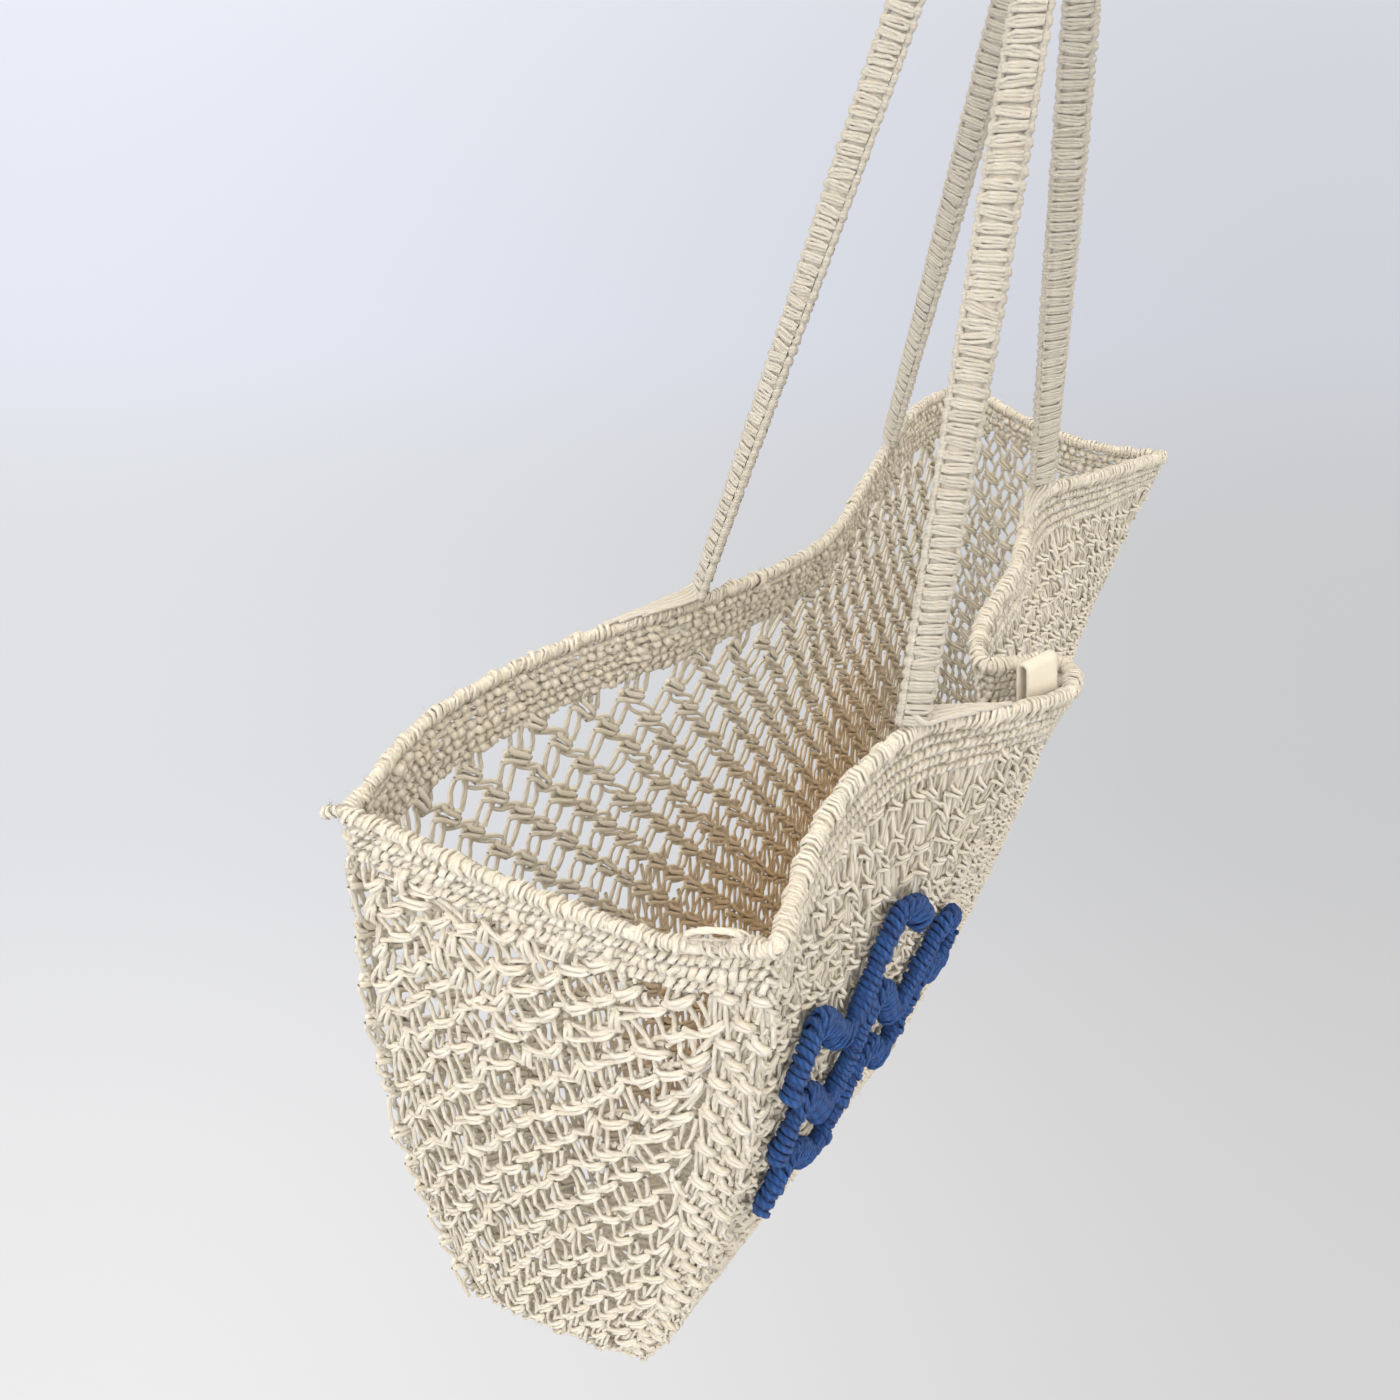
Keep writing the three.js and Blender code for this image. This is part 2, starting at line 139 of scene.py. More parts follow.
def lerp(start: Array | float, end: Array | float, part: Array | float) -> Array | float:
    """The value that lies a part of the way from start to end."""
    return start + (end - start) * part


def smoothstep(part: Array, low: float, high: float) -> Array:
    """Zero up to low, one from high on, and an even rise between them."""
    step = np.clip((part - low) / (high - low), 0.0, 1.0)
    return step * step * (3 - 2 * step)


def lengths_along(points: Array) -> Array:
    """The length of a line from its first point to each of its points."""
    paces = np.linalg.norm(np.diff(points, axis=0), axis=1)
    return np.concatenate([[0.0], np.cumsum(paces)])


def read_at(at: Array | float, run: Array, values: Array) -> Array:
    """Values in rows along a run, read at other lengths of it."""
    return np.stack([np.interp(at, run, values[:, axis]) for axis in range(3)], axis=-1)


def turned(vectors: Array, axes: Array, angles: Array) -> Array:
    """Vectors turned about axes of length one.

    Args:
        vectors: The directions to turn, in rows.
        axes: The axis for each of them.
        angles: The angle for each of them, in radians.

    Returns:
        The turned directions, in rows.
    """
    cos, sin = np.cos(angles)[..., None], np.sin(angles)[..., None]
    along = (vectors * axes).sum(-1, keepdims=True)
    return vectors * cos + np.cross(axes, vectors) * sin + axes * along * (1 - cos)


def rounded(cords: Array, parts: int) -> Array:
    """Cords with smooth curves between their points.

    Args:
        cords: The cords, as cords by points by three.
        parts: The number of short lines from each point to the next.

    Returns:
        The finer cords, in the same form.
    """
    first, last = 2 * cords[:, :1] - cords[:, 1:2], 2 * cords[:, -1:] - cords[:, -2:-1]
    chain = np.concatenate([first, cords, last], axis=1)
    p0, p1, p2, p3 = (chain[:, i : i + cords.shape[1] - 1, None] for i in range(4))
    t = (np.arange(parts) / parts)[:, None]
    bend = 2 * p0 - 5 * p1 + 4 * p2 - p3 + t * (3 * (p1 - p2) + p3 - p0)
    curve = p1 + 0.5 * t * (p2 - p0 + t * bend)
    return np.concatenate([curve.reshape(len(cords), -1, 3), cords[:, -1:]], axis=1)


def placed(name: str, data: bpy.types.ID) -> Piece:
    """Puts a mesh, a light or a camera into the scene.

    Args:
        name: The name of the new object.
        data: What it shows.

    Returns:
        The object, at the origin.
    """
    thing = bpy.data.objects.new(name, data)
    bpy.context.scene.collection.objects.link(thing)
    return thing


def dress(piece: Piece, nodes: tuple[str, ...], slot: Slot) -> None:
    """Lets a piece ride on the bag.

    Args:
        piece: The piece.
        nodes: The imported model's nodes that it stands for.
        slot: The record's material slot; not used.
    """
    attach(piece, BODY)
    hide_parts(*nodes)


class SmoothCurve:
    """A smooth curve through a few places, read by parts of its length."""

    STEPS = 80
    LOOK_AHEAD = 0.002

    def __init__(self, places: list[Place] | Array) -> None:
        """Draws the curve.

        Args:
            places: The points that it passes, in millimetres.
        """
        stops = np.asarray(places, float)
        chain = np.vstack([2 * stops[0] - stops[1], stops, 2 * stops[-1] - stops[-2]])
        pace = np.linalg.norm(np.diff(chain, axis=0), axis=1) ** 0.5
        t = np.linspace(0, 1, self.STEPS, endpoint=False)[:, None]
        runs = []
        for i in range(len(stops) - 1):
            p0, p1, p2, p3 = chain[i : i + 4]
            d0, d1, d2 = pace[i : i + 3]
            leave = ((p1 - p0) / d0 - (p2 - p0) / (d0 + d1) + (p2 - p1) / d1) * d1
            reach = ((p2 - p1) / d1 - (p3 - p1) / (d1 + d2) + (p3 - p2) / d2) * d1
            square = 3 * (p2 - p1) - 2 * leave - reach
            cube = 2 * (p1 - p2) + leave + reach
            runs.append(p1 + leave * t + square * t**2 + cube * t**3)
        self.points = np.vstack([*runs, stops[-1:]])
        run = lengths_along(self.points)
        self.length = float(run[-1])
        self.parts = run / self.length

    def at(self, part: Array | float) -> Array:
        """The points at these parts of the length."""
        return read_at(part, self.parts, self.points)

    def tangent(self, part: Array | float) -> Array:
        """The direction of the curve.

        Args:
            part: Parts of its length.

        Returns:
            The direction at each of them.
        """
        part = np.asarray(part, float)
        ahead, behind = np.clip(part + self.LOOK_AHEAD, 0, 1), np.clip(part - self.LOOK_AHEAD, 0, 1)
        return unit(self.at(ahead) - self.at(behind))


class Surface(ABC):
    """A sheet that cords lie on: right is seen from outside, down runs from its top edge."""

    LOOK_AHEAD = 0.004

    @abstractmethod
    def point(self, right: Array, down: Array) -> Array:
        """Places on the sheet itself.

        Args:
            right: Parts of the width, from the left edge seen from outside.
            down: Parts of the height, from the top edge.

        Returns:
            The place at each pair of parts.
        """

    def steps(self, right: Array, down: Array) -> tuple[Array, Array]:
        """How far and which way the sheet runs.

        Args:
            right: Parts of the width.
            down: Parts of the height.

        Returns:
            How the place moves for one whole width, and for one whole height.
        """
        step = self.LOOK_AHEAD
        r0, r1 = np.clip(right - step, 0, 1), np.clip(right + step, 0, 1)
        d0, d1 = np.clip(down - step, 0, 1), np.clip(down + step, 0, 1)
        across = (self.point(r1, down) - self.point(r0, down)) / (r1 - r0)[..., None]
        fall = (self.point(right, d1) - self.point(right, d0)) / (d1 - d0)[..., None]
        return across, fall

    def lay(self, right: Array, down: Array, lift: Array | float) -> tuple[Array, Array]:
        """Places on the sheet, or off it.

        Args:
            right: Parts of the width, which may pass its edges.
            down: Parts of the height, in the same way.
            lift: Millimetres out of the sheet.

        Returns:
            The places, and the outward direction at each.
        """
        right, down, lift = np.broadcast_arrays(right, down, np.asarray(lift, float))
        held_right, held_down = np.clip(right, 0, 1), np.clip(down, 0, 1)
        across, fall = self.steps(held_right, held_down)
        out = unit(np.cross(fall, across))
        spill = across * (right - held_right)[..., None] + fall * (down - held_down)[..., None]
        return self.point(held_right, held_down) + spill + out * lift[..., None], out


@dataclass
class Wall(Surface):
    """One wall of the bag between two corner posts, less a strip at each of them."""

    name: str
    start: str
    end: str
    mirrored: bool
    strip: float = 0.0
    rim: SmoothCurve = field(init=False)
    belly: SmoothCurve = field(init=False)
    base: SmoothCurve = field(init=False)

    def __post_init__(self) -> None:
        """Draws the curves of the three levels."""
        self.rim, self.belly, self.base = (self.level(level) for level in Level)

    def level(self, level: Level) -> SmoothCurve:
        """The curve of the wall at one level, from its first post to its last."""
        between = SECTIONS[self.name][level]
        return SmoothCurve([POSTS[self.start][level], *between, POSTS[self.end][level]])

    def along(self, right: Array, down: Array) -> Array:
        """Parts of the way from the first post to the last."""
        share = self.strip / lerp(self.rim.length, self.base.length, down)
        return lerp(share, 1 - share, 1 - right if self.mirrored else right)

    def point(self, right: Array, down: Array) -> Array:
        """Places on the wall.

        Args:
            right: Parts of the width, from the left edge seen from outside.
            down: Parts of the height, from the rim.

        Returns:
            The places, on a smooth curve through the rim, the belly and the base.
        """
        along = self.along(right, down)
        top, mid, low = (curve.at(along) for curve in (self.rim, self.belly, self.base))
        chord = lerp(self.rim.at(0.0), self.rim.at(1.0), along[..., None])
        slope = (low - chord) / 2
        upper = (down <= 0.5)[..., None]
        end = np.where(upper, top, low)
        lean = np.where(upper, -1.0, 1.0)
        step = np.abs(2 * down - 1)[..., None]
        return mid + lean * step * slope + (end - mid - lean * slope) * step**2


@dataclass
class Strip(Surface):
    """An upright strip of another surface."""

    whole: Surface
    left: float
    end: float

    def point(self, right: Array, down: Array) -> Array:
        """The places at these parts of the strip's width and height."""
        return self.whole.point(lerp(self.left, self.end, right), down)


@dataclass
class Floor(Surface):
    """The sagging bottom of the bag, between the base lines of the front and the back."""

    front: SmoothCurve
    back: SmoothCurve
    sag: float = 5.0
    inset: float = 0.03

    def point(self, right: Array, down: Array) -> Array:
        """Places on the bottom.

        Args:
            right: Parts of the length, from the near end.
            down: Parts of the width, from the front.

        Returns:
            The place at each pair of parts.
        """
        across = lerp(self.inset, 1 - self.inset, down)[..., None]
        edge, other = self.front.at(right), self.back.at(right)
        return lerp(edge, other, across) - UP * self.sag * 4 * across * (1 - across)


class CordMesh:
    """Many cords that become one mesh, with a map cell for each short length of cord."""

    THICK_AND_THIN = 0.07
    CELL_MARGIN = 0.03
    CAP_SPOT = 0.1
    FIBRE_WIDE = 0.1
    FIBRE_LONG = 2.6
    FIBRE_LENGTHS = (0.4, 1.4)
    FIBRE_STRAY = 0.7
    FIBRE_SPOTS = ((0.45, 0.45), (0.55, 0.45), (0.5, 0.55))

    def __init__(self, name: str, seed: int) -> None:
        """Starts an empty mesh.

        Args:
            name: The piece's name.
            seed: The start of the random draws for its thick and thin places and its map cells.
        """
        self.name = name
        self.draw = np.random.default_rng(seed)
        self.count = 0
        self.places: list[Array] = []
        self.rings: list[Array] = []
        self.corners: list[Array] = []
        self.sizes: list[Array] = []
        self.maps: list[Array] = []

    def lay(
        self,
        points: Array,
        ups: Array,
        wide: Array | float,
        thick: Array | float,
        sides: int = 5,
        cell_steps: int = 0,
        capped: bool = False,
    ) -> None:
        """Adds cords with an oval section.

        Args:
            points: The middle line of each cord, as cords by steps by three.
            ups: The direction of the section's thickness at each point.
            wide: Half the section's width, one value or one for each point.
            thick: Half the section's thickness, in the same way.
            sides: The number of corners of the section.
            cell_steps: The steps that share one map cell, or 0 for all of them.
            capped: Whether the ends are closed, where they can be seen.
        """
        cords, steps, _ = points.shape
        along = unit(np.gradient(points, axis=1))
        up = unit(ups - along * (ups * along).sum(-1, keepdims=True))
        side = np.cross(along, up)
        angle = 2 * np.pi * (np.arange(sides) + 0.5) / sides
        spun = self.draw.normal(1.0, self.THICK_AND_THIN, (cords, steps))
        reach = (np.broadcast_to(wide, (cords, steps)) * spun)[..., None, None]
        height = (np.broadcast_to(thick, (cords, steps)) * spun)[..., None, None]
        ring = side[:, :, None] * reach * np.cos(angle)[:, None]
        ring = ring + up[:, :, None] * height * np.sin(angle)[:, None]
        self.places.append((points[:, :, None] + ring).reshape(-1, 3))
        self.rings.append(ring.reshape(-1, 3))
        index = self.count + np.arange(cords * steps * sides).reshape(cords, steps, sides)
        self.count += index.size
        after = np.roll(index, -1, axis=2)
        quads = np.stack([index[:, :-1], index[:, 1:], after[:, 1:], after[:, :-1]], axis=-1)
        self.add_faces(quads.reshape(-1, 4), self.cells(cords, steps, sides, cell_steps))
        if capped:
            ends = np.concatenate([index[:, 0], index[:, -1, ::-1]])
            spot = 0.5 + self.CAP_SPOT * np.stack([np.cos(angle), np.sin(angle)], axis=-1)
            cell = self.draw.integers(0, MAP_CELLS, (len(ends), 1, 2))
            self.add_faces(ends, (cell + spot) / MAP_CELLS)

    def cells(self, cords: int, steps: int, sides: int, cell_steps: int) -> Array:
        """Draws map cells for a set of cords.

        Args:
            cords: The number of cords.
            steps: The number of points along each.
            sides: The number of corners of the section.
            cell_steps: The steps that share one cell, or 0 for all of them.

        Returns:
            The map's place for every corner of every face, as faces by four by two.
        """
        share = cell_steps or steps - 1
        step = np.arange(steps - 1)
        draw = self.draw.integers(0, MAP_CELLS, (cords, (steps - 2) // share + 1, 2))
        cell = draw[:, step // share][:, :, None, None, :]
        start, turn = (step % share) / share, np.arange(sides) / sides
        local = np.empty((steps - 1, sides, 4, 2))
        local[..., 0] = start[:, None, None] + np.array([0, 1, 1, 0]) / share
        local[..., 1] = turn[None, :, None] + np.array([0, 0, 1, 1]) / sides
        inner = self.CELL_MARGIN + (1 - 2 * self.CELL_MARGIN) * local
        return ((cell + inner[None]) / MAP_CELLS).reshape(-1, 4, 2)

    def add_fibres(self, fibres: int) -> None:
        """Lets loose fibres, as fine closed spikes, stand out of the cords laid so far.

        Args:
            fibres: The number of fibres.
        """
        at = self.draw.integers(0, self.count, fibres)
        root, out = np.vstack(self.places)[at], unit(np.vstack(self.rings)[at])
        way = unit(out + self.draw.normal(0, self.FIBRE_STRAY, (fibres, 3)))
        side = unit(np.cross(way, self.draw.normal(0, 1, (fibres, 3))))
        angle = 2 * np.pi * np.arange(3)[:, None] / 3
        ring = side[:, None] * np.cos(angle) + np.cross(way, side)[:, None] * np.sin(angle)
        base = root[:, None] + ring * self.FIBRE_WIDE - way[:, None] * self.FIBRE_WIDE
        tip = root + way * self.FIBRE_LONG * self.draw.uniform(*self.FIBRE_LENGTHS, (fibres, 1))
        self.places.append(np.concatenate([base, tip[:, None]], axis=1).reshape(-1, 3))
        index = self.count + np.arange(4 * fibres).reshape(fibres, 4)
        self.count += index.size
        faces = index[:, [[0, 1, 3], [1, 2, 3], [2, 0, 3], [2, 1, 0]]]
        cell = self.draw.integers(0, MAP_CELLS, (fibres, 1, 1, 2))
        places = np.broadcast_to((cell + np.array(self.FIBRE_SPOTS)) / MAP_CELLS, (fibres, 4, 3, 2))
        self.add_faces(faces.reshape(-1, 3), places)

    def add_faces(self, corners: Array, places: Array) -> None:
        """Keeps faces that all have the same number of corners.

        Args:
            corners: The vertices of each face, in rows.
            places: The map's place for each corner.
        """
        self.corners.append(corners.ravel())
        self.sizes.append(np.full(len(corners), corners.shape[1]))
        self.maps.append(places.reshape(-1, 2))

    def build(self, nodes: tuple[str, ...], slot: Slot, material: Material, fuzz: float = 0.0) -> Piece:
        """Makes the piece.

        Args:
            nodes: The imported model's nodes that it stands for.
            slot: The record's material slot.
            material: The finish that it wears.
            fuzz: The share of its points that carry a loose fibre.

        Returns:
            The piece, riding on the bag.
        """
        if fuzz:
            self.add_fibres(round(fuzz * self.count))
        places = (np.vstack(self.places) - GRIP) * MM
        corners, sizes = np.concatenate(self.corners), np.concatenate(self.sizes)
        mesh = bpy.data.meshes.new(self.name)
        mesh.vertices.add(len(places))
        mesh.vertices.foreach_set("co", places.astype(np.float32).ravel())
        mesh.loops.add(len(corners))
        mesh.loops.foreach_set("vertex_index", corners.astype(np.int32))
        mesh.polygons.add(len(sizes))
        starts = np.concatenate([[0], np.cumsum(sizes)[:-1]])
        mesh.polygons.foreach_set("loop_start", starts.astype(np.int32))
        layer = mesh.uv_layers.new(name=CORD_MAP)
        layer.uv.foreach_set("vector", np.vstack(self.maps).astype(np.float32).ravel())
        mesh.update(calc_edges=True)
        mesh.shade_smooth()
        mesh.materials.append(material)
        piece = placed(self.name, mesh)
        dress(piece, nodes, slot)
        LOG.info("%s: %d triangles", self.name, int((sizes - 2).sum()))
        return piece


@dataclass(frozen=True)
class Whipping:
    """A yarn wound round and round a core, by hand: no two turns are quite alike.

    The fields from slant to unevenness say how far the turns lean and stray, in millimetres or, for
    wander and unevenness, as shares of the pitch and of the size.
    """

    half_out: float
    half_up: float
    yarn_wide: float
    yarn_thick: float
    pitch: float
    per_turn: int = 7
    sides: int = 4
    slant: float = 0.0
    lean: float = 0.35
    wander: float = 0.14
    sway: float = 0.15
    unevenness: float = 0.11
    core: float = 0.72
    core_sides: int = 6
    core_points: int = 8

    def lay(self, mesh: CordMesh, path: Array, outs: Array) -> None:
        """Winds the yarn along a path and puts a plain core inside.

        Args:
            mesh: The mesh that takes the cords.
            path: The core's middle line.
            outs: The direction out of the cloth at each point of it.
        """
        run = lengths_along(path)
        turns = max(2, round(run[-1] / self.pitch))
        steps = turns * self.per_turn + 1
        phase = np.arange(steps) / self.per_turn
        angle = 2 * np.pi * (phase + mesh.draw.random())

        def varied(middle: float, spread: float) -> Array:
            """A value that changes a little from turn to turn."""
            return np.interp(phase, np.arange(turns + 1), mesh.draw.normal(middle, spread, turns + 1))

        shift = varied(self.slant, self.lean) * np.sin(angle) + varied(0.0, self.wander * self.pitch)
        at = np.clip(phase / turns * run[-1] + shift, 0.0, run[-1])
        centre, out = read_at(at, run, path), unit(read_at(at, run, outs))
        along = unit(np.gradient(read_at(np.linspace(0, run[-1], steps), run, path), axis=0))
        rise = unit(np.cross(out, along))
        swell = varied(1.0, self.unevenness)
        ring = out * (self.half_out * swell * np.cos(angle))[:, None]
        ring = ring + rise * (self.half_up * swell * np.sin(angle))[:, None]
        drift = out * varied(0.0, self.sway)[:, None] + rise * varied(0.0, self.sway)[:, None]
        points = centre + ring + drift
        size = ((self.yarn_wide * swell)[None], (self.yarn_thick * swell)[None])
        mesh.lay(points[None], ring[None], *size, sides=self.sides, cell_steps=self.per_turn, capped=True)
        thinned = slice(None, None, max(1, len(path) // max(self.core_points, turns // 2)))
        size = (self.half_up * self.core, self.half_out * self.core)
        line, face = path[None, thinned], outs[None, thinned]
        mesh.lay(line, face, *size, sides=self.core_sides, cell_steps=2, capped=True)


@dataclass
class Knot:
    """A square knot: one cord crosses the two filler cords twice in front, another twice behind.

    Reach, tall and lift are half its width, height and thickness, and radius is half its cord's.
    The filler and the working cords leave it at these parts of its reach. A filler cord is drawn
    down to filler_end of its height, from filler_start of that way on.
    """

    reach: float = 6.2
    tall: float = 2.55
    lift: float = 1.5
    radius: float = 1.18
    filler: float = -0.08
    working: float = 0.95
    filler_start: float = 0.1
    filler_end: float = 0.9
    sides: int = 5

    def crossing(self) -> Array:
        """The cord in front, from the upper left: across, round the right end and back again.

        Returns:
            Its points in rows: right, down and out of the knot's middle.
        """
        turn = [
            (-self.working, -1.0, 0.0),
            (-0.6, -0.52, 0.85),
            (0.56, -0.42, 0.95),
            (1.0, 0.0, 0.15),
            (0.56, 0.42, 0.95),
            (-0.6, 0.52, 0.85),
            (-self.working, 1.0, 0.0),
        ]
        return np.array(turn) * (self.reach, self.tall, self.lift)


@dataclass
class Ground:
    """Plain flat cords side by side behind the knots of a net."""

    count: int
    lean: float = 0.0
    lift: float = -0.9
    top: float = 0.0
    top_spread: float = 0.5
    wide: float = 0.6
    thick: float = 0.65
    steps: int = 22
    sway: float = 0.5
    unevenness: float = 0.4
    edge: float = 0.002

    @property
    def spread(self) -> float:
        """The part of the width that they start from, wider than one where they lean."""
        return 1 + abs(self.lean)

    def courses(self, draw: np.random.Generator, width: float, above: float, below: float) -> Array:
        """Where the cords run.

        Args:
            draw: Random draws for small unevenness.
            width: The net's width in millimetres.
            above: The height that they come from.
            below: The height that they run to.

        Returns:
            Right, down and lift on the surface, as cords by points by three.
        """
        shape = (self.count, self.steps)
        tops = self.top * (1 + self.top_spread * draw.random(self.count))
        down = lerp(np.maximum(tops, above)[:, None], below, np.linspace(0, 1, self.steps))
        start = 0.5 + self.spread * ((np.arange(self.count) + 0.5) / self.count - 0.5)
        right = start[:, None] + self.lean * (down - 0.5) + draw.normal(0, self.sway, shape) / width
        lift = draw.normal(self.lift, self.unevenness, shape)
        return np.stack([np.clip(right, self.edge, 1 - self.edge), down, lift], axis=-1)


@dataclass
class Net:
    """Staggered knots on a surface, each tied to the two below it by a pair of cords.

    The knots slant, so that on one side the pairs hang straight, like a ladder, and on the other
    they curve round small eyes. The rows drop from left to right, crowd towards the top or the
    bottom, and are looser at the top where loose_top says so.
    """

    surface: Surface
    columns: int
    rows: int
    knot: Knot
    seed: int
    top: float = 0.1
    low: float = 0.965
    slant: float = math.radians(40)
    drop: float = 0.0
    crowd: float = 0.0
    loose_top: float = 0.0
    tilt_jitter: float = math.radians(7)
    place_jitter: float = 0.7
    size_jitter: float = 0.06
    size_limits: Span = (0.8, 1.2)
    arc: float = 2.6
    straight: float = 0.15
    edge_swings: Span = (0.3, 0.15)
    bulges: Span = (0.5, 0.9)
    curve_bends: Span = (0.3, 0.7)
    line_bends: tuple[float, ...] = (0.5,)
    bow: float = 0.6
    strand: float = 0.86
    sides: int = 5
    curve_parts: int = 2
    knot_parts: int = 2
    backs: bool = True
    margin: float = 0.3
    ground: Ground | None = None
    grid: dict[tuple[int, int], int] = field(init=False)
    right: Array = field(init=False)
    down: Array = field(init=False)
    span: Array = field(init=False)
    tilt: Array = field(init=False)
    size: Array = field(init=False)
    squeeze: Array = field(init=False)
    draw: np.random.Generator = field(init=False)

    def place_knots(self) -> None:
        """Works out where each knot sits, how big it is and how it is turned."""
        draw = np.random.default_rng(self.seed)
        step = (self.low - self.top) / (self.rows - 1)
        extra = math.ceil(abs(self.drop) / 2 / step)
        spaces = self.columns - 1 + 2 * self.margin
        edge = self.margin / 2 / spaces
        self.grid = {}
        spots = []
        for row in range(-extra, self.rows + extra):
            odd = row % 2
            part = row / (self.rows - 1)
            level = self.top + (self.low - self.top) * (part + self.crowd * part * (1 - part))
            for column in range(self.columns - odd):
                right = (column + self.margin + 0.5 * odd) / spaces
                down = level + self.drop * (0.5 - right)
                if edge < right < 1 - edge and self.top - step / 3 < down < self.low + step / 3:
                    self.grid[row, column] = len(spots)
                    spots.append((right, down))
        self.right, self.down = np.array(spots).T
        across, fall = self.surface.steps(self.right, self.down)
        self.span = np.stack([np.linalg.norm(across, axis=-1), np.linalg.norm(fall, axis=-1)], -1)
        count = len(spots)
        loose = 1 + self.loose_top * (0.5 - (self.down - self.top) / (self.low - self.top))
        self.right = self.right + draw.normal(0, self.place_jitter, count) * loose / self.span[:, 0]
        self.down = self.down + draw.normal(0, self.place_jitter, count) * loose / self.span[:, 1]
        self.tilt = self.slant + draw.normal(0, self.tilt_jitter, count) * loose
        self.size = draw.normal(1.0, self.size_jitter, count).clip(*self.size_limits)
        room = self.span[:, 0] / spaces / (2 * self.knot.reach * math.cos(self.slant))
        self.squeeze = np.minimum(1.0, room)
        self.draw = draw

    def spots(self, knots: Array, offsets: Array) -> Array:
        """Places near knots.

        Args:
            knots: The number of each knot.
            offsets: Right, down and out of it in millimetres, as points by three.

        Returns:
            Right, down and lift on the surface, as knots by points by three.
        """
        aside, below, out = np.moveaxis(np.broadcast_to(offsets, (len(knots), *offsets.shape)), -1, 0)
        aside = aside * self.squeeze[knots][:, None]
        cos, sin = np.cos(self.tilt[knots])[:, None], np.sin(self.tilt[knots])[:, None]
        size = self.size[knots][:, None]
        right = (aside * cos + below * sin) * size / self.span[knots, 0][:, None]
        down = (below * cos - aside * sin) * size / self.span[knots, 1][:, None]
        place = [self.right[knots][:, None] + right, self.down[knots][:, None] + down, out * size]
        return np.stack(place, axis=-1)

    def neighbour(self, row: int, column: int, side: int, way: int) -> tuple[int | None, bool]:
        """The knot that a knot is tied to.

        Args:
            row: The knot's row.
            column: The knot's place in its row.
            side: -1 on the left, 1 on the right.
            way: -1 upwards, 1 downwards.

        Returns:
            The other knot's number or None, and whether the tie runs down the edge of the net.
        """
        beside = column + (side + 1) // 2 if row % 2 else column + (side - 1) // 2
        if (row + way, beside) in self.grid:
            return self.grid[row + way, beside], False
        below = [self.grid.get((row + 2 * way, other)) for other in (column, column - side)]
        return below[0] if below[0] is not None else below[1], True

    def ties(self) -> tuple[dict[tuple[int, bool], list], dict[tuple[int, int], list]]:
        """Sorts the ties of every knot.

        Returns:
            The pairs of tied knots by side and edge, and the knots with loose cords by side and way.
        """
        tied: dict[tuple[int, bool], list[tuple[int, int]]] = {}
        loose: dict[tuple[int, int], list[int]] = {}
        for (row, column), knot in self.grid.items():
            for side, way in product((-1, 1), (-1, 1)):
                other, edge = self.neighbour(row, column, side, way)
                if other is None:
                    loose.setdefault((side, way), []).append(knot)
                elif way > 0:
                    tied.setdefault((side, edge), []).append((knot, other))
        return tied, loose

    def join(self, head: Array, tail: Array, swing: float, bends: tuple[float, ...]) -> Array:
        """Cords from one set of places to another.

        Args:
            head: Where they leave, as cords by points by three.
            tail: Where they arrive, in the same form.
            swing: How far they bulge to the right on their way, in millimetres.
            bends: The parts of the way at which they bend.

        Returns:
            Right, down and lift, as cords by points by three.
        """
        count = len(head)
        way = lerp(head[:, -1:], tail[:, :1], np.array(bends)[:, None])
        least, more = self.bulges
        bulge = swing * (least + more * self.draw.random(count)) / self.span[:, 0].mean()
        way[..., 0] += bulge[:, None]
        way[..., 2] += self.draw.normal(0, self.bow, count)[:, None]
        return np.concatenate([head, way, tail], axis=1)

    def pair(self, side: int, edge: bool, upper: Array, lower: Array) -> list[Array]:
        """The two cords of each tie on one side.

        Args:
            side: -1 on the left, 1 on the right.
            edge: Whether they run down the edge to a knot straight below.
            upper: The knots that they leave.
            lower: The knots that they reach.

        Returns:
            Two sets of cords, as right, down and lift.
        """
        knot = self.knot
        work = np.array([[side * knot.working * knot.reach, knot.tall, 0.0]])
        fill = np.array([[side * knot.filler * knot.reach, knot.tall * knot.filler_end, 0.0]])
        core = fill * (1, knot.filler_start, 1)
        flip = np.array([1, -1, 1]) if edge else np.array([-1, -1, 1])
        out_fill, in_fill = np.vstack([core, fill]), np.vstack([fill, core]) * flip
        ends = [(work, in_fill, side), (out_fill, work * flip, -side)]
        if edge:
            outer, inner = (side * swing for swing in self.edge_swings)
            ends = [(work, work * flip, outer), (out_fill, in_fill, inner)]
        curved = edge or side * self.slant < 0
        swing, bends = self.straight * self.arc, self.line_bends
        if curved:
            swing, bends = self.arc, self.curve_bends
        return [
            self.join(self.spots(upper, start), self.spots(lower, end), turn * swing, bends)
            for start, end, turn in ends
        ]

    def tails(self, side: int, way: int, knots: Array, limit: float) -> list[Array]:
        """The two cords that run straight on from each knot at the end of the net.

        Args:
            side: -1 on the left, 1 on the right.
            way: -1 upwards, 1 downwards.
            knots: The knots that they leave.
            limit: The height that they run to.

        Returns:
            Two sets of cords, as right, down and lift.
        """
        runs = []
        for offset in (self.knot.working, self.knot.filler):
            start = np.array([[side * offset * self.knot.reach, way * self.knot.tall, 0.0]])
            head = self.spots(knots, start)
            end = head.copy()
            end[..., 1] = limit
            runs.append(self.join(head, end, 0.0, self.line_bends))
        return runs

